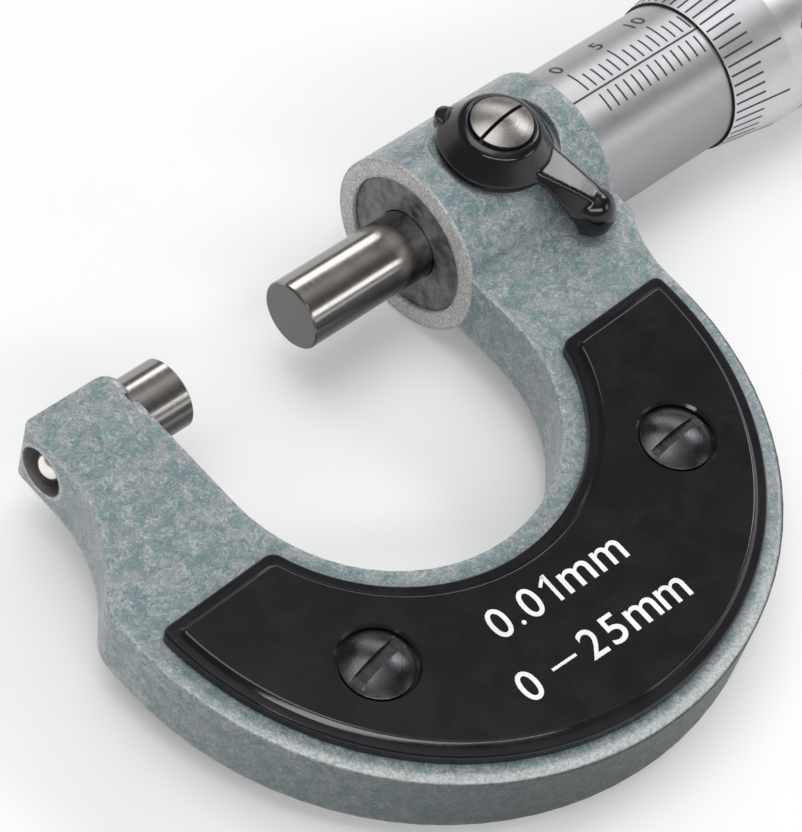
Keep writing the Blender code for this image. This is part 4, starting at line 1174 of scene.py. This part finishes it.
def finish_thimble():
    """Turn the thimble, knurl its grip and fill in its scale."""
    size = sizes()
    edge = size.edge_round / MM
    groove = THIMBLE_RADIUS - 0.35
    first, last = GRIP_START + 0.95, GRIP_END - 0.15
    spacing = (last - first) / GRIP_ROWS
    grip = [(first + (last - first) * row / GRIP_ROWS, THIMBLE_RADIUS)
            for row in range(GRIP_ROWS + 1)]
    profile = [(THIMBLE_EDGE, THIMBLE_BORE), (THIMBLE_EDGE, LIP_RADIUS, 0.08),
               (BEVEL_END, THIMBLE_RADIUS, 0.6), (GRIP_START, THIMBLE_RADIUS, 0.1),
               (GRIP_START + 0.15, groove), (GRIP_START + 0.65, groove), *grip,
               (GRIP_END + 0.15, groove), (GRIP_END + 0.65, groove),
               (GRIP_END + 0.8, THIMBLE_RADIUS, 0.1),
               (THIMBLE_END - 0.6, THIMBLE_RADIUS, edge), (THIMBLE_END, 7.85, edge),
               (THIMBLE_END, 2.4), (THIMBLE_FLOOR, 3.06), (THIMBLE_FLOOR, THIMBLE_BORE),
               (THIMBLE_EDGE, THIMBLE_BORE)]
    sides = 132
    thimble = turn("thimble_body", profile, sides, solid=False)
    # Every other corner of the grip is pressed in, which leaves crossed ridges
    for vert in thimble.data.vertices:
        row = round((vert.co.x - first) / spacing)
        if not 0 < row < GRIP_ROWS or hypot(vert.co.y, vert.co.z) < groove:
            continue
        column = round(atan2(vert.co.z, vert.co.y) * sides / (2 * pi) - 0.001)
        if (row + column) % 2:
            vert.co.yz *= 1 - size.knurl_depth / MM / THIMBLE_RADIUS
    settle(thimble, get_material("thimble_chrome"), "thimble", "satin_chrome", "thimble")
    half = size.line_width / MM / 2
    line_half = half / LIP_RADIUS
    lines = []
    for step in range(THIMBLE_LINES):
        angle = INDEX_ANGLE + step * LINE_PITCH
        end = BEVEL_END - 0.35 if step % 5 == 0 else THIMBLE_EDGE + 3.5
        lines.append(scale_line(THIMBLE_EDGE + 0.25, end, angle - line_half, angle + line_half,
                                thimble_radius))
    settle(joined("thimble_scale", lines), get_material("scale_ink"), "thimble",
           "satin_chrome")
    numbers = [round_number(str(step), BEVEL_END + 3.2, INDEX_ANGLE + (40 - step) * LINE_PITCH,
                            size.number_height / MM, thimble_radius)
               for step in range(0, THIMBLE_LINES, 5)]
    settle(joined("thimble_numbers", numbers), get_material("scale_ink"), "thimble",
           "satin_chrome")


def finish_ratchet():
    """Turn the ratchet's fluted knob and the screw in its end."""
    edge = sizes().edge_round / MM
    low = KNOB_RADIUS - 0.3
    profile = [(KNOB_START, KNOB_BORE), (KNOB_START, low, edge), (KNOB_START + 1.2, low),
               (KNOB_START + 1.5, KNOB_RADIUS), (KNOB_END - 1.5, KNOB_RADIUS),
               (KNOB_END - 1.2, low), (KNOB_END, low, edge), (KNOB_END, END_HOLE, 0.1),
               (KNOB_END - 1.3, END_HOLE), (KNOB_END - 1.3, 1.96), (KNOB_END - 3.6, 1.96),
               (KNOB_END - 3.6, KNOB_BORE), (KNOB_START, KNOB_BORE)]
    knob = turn("ratchet_knob_body", profile, 6 * FLUTES, solid=False)
    for vert in knob.data.vertices:
        radius = hypot(vert.co.y, vert.co.z)
        if radius > KNOB_RADIUS - 0.05:
            phase = atan2(vert.co.z, vert.co.y) * FLUTES
            vert.co.yz *= 1 - FLUTE_DEPTH / 2 * (1 - cos(phase)) / radius
    settle(knob, get_material("satin_chrome"), "ratchet", "satin_chrome", "ratchet_knob",
           sharp=50)
    seat = KNOB_END - 1.2
    screw = turn("end_screw", [
        (seat - 4, 0.7), (seat - 3.8, 0.85), (seat, 0.85), (seat, 3.0), (seat + 0.55, 3.0, 0.15),
        (seat + 0.9, 1.9), (seat + 1.0, 0.9), (seat + 1.02, 0.1)], 96)
    combine(screw, add_box("slot", (1.8, 9, 0.8), (KNOB_END, 0, 0)))
    soften(screw, 0.05)
    settle(screw, get_material("bright_steel"), "thimble", "bright_steel", "ratchet_end_screw")


def build_lever_arm():
    """Model the lever's arm by extruding its section from the hub to the drooping tip.

    It is a wedge with a flat crest. Its foot flares toward the hub and its tip is a round knob.
    """
    base = HUB_CREST - 0.75
    tall = base - ARM_FLOOR
    reach, _, wide = ARM_STATIONS[0]
    piece = add_box("lever_arm", (ARM_WIDTH * wide, 0.2, tall), (0, 0, (base + ARM_FLOOR) / 2))
    for y, drop, width in ARM_STATIONS[1:]:
        pick(piece, "polygons", lambda face: face.normal.y < -0.5)
        bpy.ops.mesh.extrude_region_move(TRANSFORM_OT_translate={"value": (0, reach - y, 0)})
        new_tall = base - drop - ARM_FLOOR
        bpy.ops.transform.resize(value=(width / wide, 1, new_tall / tall),
                                 center_override=(0, -y, ARM_FLOOR))
        editing(False)
        tall, wide, reach = new_tall, width, y
    verts = piece.data.vertices

    def upright(item):
        start, end = (verts[index].co for index in item.vertices)
        return hypot(start.x - end.x, start.y - end.y) < 0.01

    pick(piece, "edges", upright)
    bpy.ops.mesh.subdivide(number_cuts=1)
    editing(False)
    pick(piece, "polygons", lambda face: face.normal.z > 0.7)
    bpy.ops.transform.resize(value=(0.45, 1, 1), center_override=(0, 0, base))
    editing(False)
    bpy.ops.object.select_all(action="DESELECT")
    bpy.ops.mesh.primitive_uv_sphere_add(segments=48, ring_count=24, radius=1,
                                         location=(0, 2.1 - ARM_REACH, 4.8))
    knob = named("knob")
    knob.scale = (2.1, 2.1, 2.5)
    apply_place(knob)
    combine(knob, add_box("below", (9, 9, 9), (0, -9, ARM_FLOOR - 4.5)))
    combine(piece, knob, "UNION")
    return piece


def finish_lock():
    """Mould the lock lever and fit its screw."""
    hub = turn("lock_lever_body", [
        (SPOT_FACE + 0.2, HUB_RADIUS - 0.25), (SPOT_FACE + 0.35, HUB_RADIUS, 0.1),
        (SPOT_FACE + 0.85, HUB_RADIUS - 0.05, 0.3), (HUB_CREST - 0.3, 3.65, 0.4),
        (HUB_CREST, 3.1)], 96, upright=True)
    combine(hub, add_rod("recess", LOCK_HEAD + 0.1, HEAD_SEAT, 20))
    combine(hub, add_rod("washer_room", 3.4, 0, HUB_FOOT))
    arm = build_lever_arm()
    modify(arm, "REMESH", mode="VOXEL", voxel_size=LEVER_GRAIN)
    # The arm's underside is cut clear of the round boss over the whole swing
    swing = []
    for step in range(8):
        boss = add_rod("boss", BOSS_RADIUS + 0.35, -14, 14, sides=96)
        boss.rotation_euler = (0, pi / 2, radians(-29.5 + 8 * step))
        apply_place(boss)
        swing.append(boss)
    swing = joined("boss_over_the_swing", swing)
    modify(swing, "REMESH", mode="VOXEL", voxel_size=0.3)
    combine(arm, swing)
    tail = add_rod("tail", 1.0, SPOT_FACE + 0.2, HUB_FOOT + 0.35, (0, 4.75), 32)
    # Remeshing runs the overlapping parts together into one shell
    hub = joined("lock_lever_body", (hub, arm, tail))
    modify(hub, "REMESH", mode="VOXEL", voxel_size=LEVER_GRAIN)
    modify(hub, "SMOOTH", factor=0.5, iterations=8)
    hub.rotation_euler.z = LEVER_TURN
    moved(hub, (LOCK_X, 0, 0))
    settle(hub, get_material("lever_plastic"), "lock", "black_plastic", "lock_lever", sharp=60)
    rim = HEAD_SEAT + 0.65
    height = 0.6
    screw = turn("lock_lever_screw", [
        (HUB_FOOT - 0.3, 0.95), (HEAD_SEAT + 0.1, 0.95), (HEAD_SEAT + 0.1, LOCK_HEAD),
        (rim, LOCK_HEAD),
        *domed(LOCK_HEAD, height, rim, (0.95, 0.85, 0.7, 0.55, 0.4, 0.25, 0.12, 0.03))],
        96, upright=True)
    combine(screw, add_box("slot", (9, 0.34, 2.2), (0, 0, rim + height), radians(7)))
    soften(screw, 0.04)
    moved(screw, (LOCK_X, 0, 0))
    settle(screw, get_material("lock_screw_steel"), "lock", "bright_steel", "lock_screw")


def finish_inner_parts():
    """Give the CAD's inner parts their finishes."""
    inner = {"inner_sleeve": "dark_steel", "adjusting_nut": "dark_steel",
             "lock_washer": "bright_steel", "lock_shoe": "brass", "lock_stud": "bright_steel",
             "ratchet_stem": "bright_steel", "ratchet_clutch": "dark_steel",
             "ratchet_spring": "bright_steel"}
    for node, material in inner.items():
        mesh = frame["nodes"][node].data
        mesh.materials.clear()
        mesh.materials.append(get_material(material))


# Stage


def finish_stage():
    """Set the floor, the studio light and the camera."""
    scene = bpy.context.scene
    stage = scene.micrometer_stage
    floor_z = CAD_BOUNDS[0][2]
    bpy.ops.object.select_all(action="DESELECT")
    bpy.ops.mesh.primitive_plane_add(size=6, location=(0, 0, floor_z))
    floor = named("bench")
    floor.data.materials.append(floor_material(stage.floor))
    for setting, (azimuth, elevation, away, size) in LIGHTS.items():
        add_softbox(f"{setting}_light", radians(azimuth), radians(elevation), away, size,
                    getattr(stage, setting))
    build_world()
    right, up = Vector(CAMERA_RIGHT), Vector(CAMERA_UP)
    back = right.cross(up).normalized()
    up = back.cross(right).normalized()
    bpy.ops.object.camera_add()
    camera = bpy.context.object
    place = Matrix((right.normalized(), up, back)).transposed().to_4x4()
    place.translation = Vector(CAMERA_PLACE) * MM
    camera.matrix_world = Matrix.Rotation(REST, 4, "X") @ place
    camera.data.lens = CAMERA_LENS
    camera.data.sensor_width = 36
    camera.data.clip_start = 0.01
    scene.camera = camera
    scene.view_settings.view_transform = "Standard"


def add_softbox(name, azimuth, elevation, away, size, energy):
    """Add a rectangular light that faces the middle of the micrometer."""
    aim = Vector((0.02, -0.01, 0))
    out = Vector((cos(azimuth) * cos(elevation), sin(azimuth) * cos(elevation), sin(elevation)))
    bpy.ops.object.light_add(type="AREA", location=aim + out * away)
    light = named(name)
    light.data.shape = "RECTANGLE"
    light.data.size, light.data.size_y = size
    light.data.energy = energy
    light.rotation_euler = out.to_track_quat("Z", "Y").to_euler()


def floor_material(base):
    """Return the pale bench, which glows a little for the camera and in reflections."""
    material = bpy.data.materials.new("pale_bench")
    material.use_nodes = True
    tree = material.node_tree
    shader = tree.nodes["Principled BSDF"]
    shader.inputs["Base Color"].default_value = (*base, 1)
    shader.inputs["Roughness"].default_value = 0.9
    shader.inputs["Specular IOR Level"].default_value = 0.0
    shader.inputs["Emission Color"].default_value = (1, 1, 1, 1)
    path = tree.nodes.new("ShaderNodeLightPath")
    seen = math_node(tree, "MAXIMUM", path.outputs["Is Camera Ray"], math_node(
        tree, "MAXIMUM", path.outputs["Is Glossy Ray"], path.outputs["Is Transmission Ray"]))
    tree.links.new(math_node(tree, "MULTIPLY", seen, 0.17), shader.inputs["Emission Strength"])
    return material


def build_world():
    """Light the scene from all round: a white horizon, dim walls and a bright ceiling."""
    world = bpy.data.worlds.new("studio")
    bpy.context.scene.world = world
    world.use_nodes = True
    tree = world.node_tree
    split = tree.nodes.new("ShaderNodeSeparateXYZ")
    tree.links.new(tree.nodes.new("ShaderNodeTexCoord").outputs["Generated"], split.inputs[0])
    ramp = tree.nodes.new("ShaderNodeValToRGB")
    steps = ramp.color_ramp.elements
    for place, level in ((0.0, 1.0), (0.13, 1.0), (0.22, 0.2), (0.72, 0.1), (0.86, 0.26),
                         (0.94, 0.85)):
        step = steps[0] if place == 0.0 else steps.new(place)
        step.color = (level, level, level, 1)
    steps[-1].color = (0.85, 0.85, 0.85, 1)
    tree.links.new(split.outputs["Z"], ramp.inputs["Fac"])
    tree.links.new(ramp.outputs["Color"], tree.nodes["Background"].inputs["Color"])


# Operators and panel


class MICROMETER_OT_casting(bpy.types.Operator):
    """Fit the painted casting."""
    bl_idname = "micrometer.casting"
    bl_label = "Casting"
    bl_options = {"REGISTER", "UNDO"}

    def execute(self, context):
        finish_frame()
        return {"FINISHED"}


class MICROMETER_OT_plates(bpy.types.Operator):
    """Fit both plates and their screws."""
    bl_idname = "micrometer.plates"
    bl_label = "Plates"
    bl_options = {"REGISTER", "UNDO"}

    def execute(self, context):
        finish_plates()
        return {"FINISHED"}


class MICROMETER_OT_plate_print(bpy.types.Operator):
    """Print the range and the graduation on the front plate."""
    bl_idname = "micrometer.plate_print"
    bl_label = "Plate Print"
    bl_options = {"REGISTER", "UNDO"}

    def execute(self, context):
        finish_plate_print()
        return {"FINISHED"}


class MICROMETER_OT_anvil_and_spindle(bpy.types.Operator):
    """Turn the anvil and the spindle."""
    bl_idname = "micrometer.anvil_and_spindle"
    bl_label = "Anvil and Spindle"
    bl_options = {"REGISTER", "UNDO"}

    def execute(self, context):
        finish_measuring_faces()
        return {"FINISHED"}


class MICROMETER_OT_sleeve(bpy.types.Operator):
    """Turn and graduate the sleeve."""
    bl_idname = "micrometer.sleeve"
    bl_label = "Sleeve"
    bl_options = {"REGISTER", "UNDO"}

    def execute(self, context):
        finish_sleeve()
        return {"FINISHED"}


class MICROMETER_OT_thimble(bpy.types.Operator):
    """Turn, knurl and graduate the thimble."""
    bl_idname = "micrometer.thimble"
    bl_label = "Thimble"
    bl_options = {"REGISTER", "UNDO"}

    def execute(self, context):
        finish_thimble()
        return {"FINISHED"}


class MICROMETER_OT_ratchet(bpy.types.Operator):
    """Turn the ratchet's knob and its end screw."""
    bl_idname = "micrometer.ratchet"
    bl_label = "Ratchet"
    bl_options = {"REGISTER", "UNDO"}

    def execute(self, context):
        finish_ratchet()
        return {"FINISHED"}


class MICROMETER_OT_lock(bpy.types.Operator):
    """Mould the lock lever and fit its screw."""
    bl_idname = "micrometer.lock"
    bl_label = "Lock"
    bl_options = {"REGISTER", "UNDO"}

    def execute(self, context):
        finish_lock()
        return {"FINISHED"}


class MICROMETER_OT_inner_parts(bpy.types.Operator):
    """Give the parts inside their finishes."""
    bl_idname = "micrometer.inner_parts"
    bl_label = "Inner Parts"
    bl_options = {"REGISTER", "UNDO"}

    def execute(self, context):
        finish_inner_parts()
        return {"FINISHED"}


class MICROMETER_OT_stage(bpy.types.Operator):
    """Set the floor, the light and the camera."""
    bl_idname = "micrometer.stage"
    bl_label = "Stage"
    bl_options = {"REGISTER", "UNDO"}

    def execute(self, context):
        finish_stage()
        return {"FINISHED"}


STEPS = (MICROMETER_OT_casting, MICROMETER_OT_plates, MICROMETER_OT_plate_print,
         MICROMETER_OT_anvil_and_spindle, MICROMETER_OT_sleeve, MICROMETER_OT_thimble,
         MICROMETER_OT_ratchet, MICROMETER_OT_lock, MICROMETER_OT_inner_parts,
         MICROMETER_OT_stage)


class MICROMETER_PT_panel(bpy.types.Panel):
    """Lists the steps and the settings."""
    bl_label = "Micrometer"
    bl_space_type = "VIEW_3D"
    bl_region_type = "UI"
    bl_category = "Micrometer"

    def draw(self, context):
        layout = self.layout
        for step in STEPS:
            layout.operator(step.bl_idname)
        for group in (context.scene.micrometer_sizes, context.scene.micrometer_finishes,
                      context.scene.micrometer_stage):
            box = layout.box()
            for key in group.bl_rna.properties.keys():
                if key not in ("rna_type", "name"):
                    box.prop(group, key)


CLASSES = (MicrometerSizes, MicrometerFinishes, MicrometerStage, *STEPS, MICROMETER_PT_panel)


def register():
    """Register the classes and the settings."""
    for item in CLASSES:
        bpy.utils.register_class(item)
    bpy.types.Scene.micrometer_sizes = PointerProperty(type=MicrometerSizes)
    bpy.types.Scene.micrometer_finishes = PointerProperty(type=MicrometerFinishes)
    bpy.types.Scene.micrometer_stage = PointerProperty(type=MicrometerStage)


def unregister():
    """Take the settings and the classes away again."""
    del bpy.types.Scene.micrometer_stage
    del bpy.types.Scene.micrometer_finishes
    del bpy.types.Scene.micrometer_sizes
    for item in reversed(CLASSES):
        bpy.utils.unregister_class(item)


def main():
    """Build the micrometer step by step."""
    register()
    bpy.ops.micrometer.casting()
    bpy.ops.micrometer.plates()
    bpy.ops.micrometer.plate_print()
    bpy.ops.micrometer.anvil_and_spindle()
    bpy.ops.micrometer.sleeve()
    bpy.ops.micrometer.thimble()
    bpy.ops.micrometer.ratchet()
    bpy.ops.micrometer.lock()
    bpy.ops.micrometer.inner_parts()
    bpy.ops.micrometer.stage()


if __name__ == "__main__":
    main()
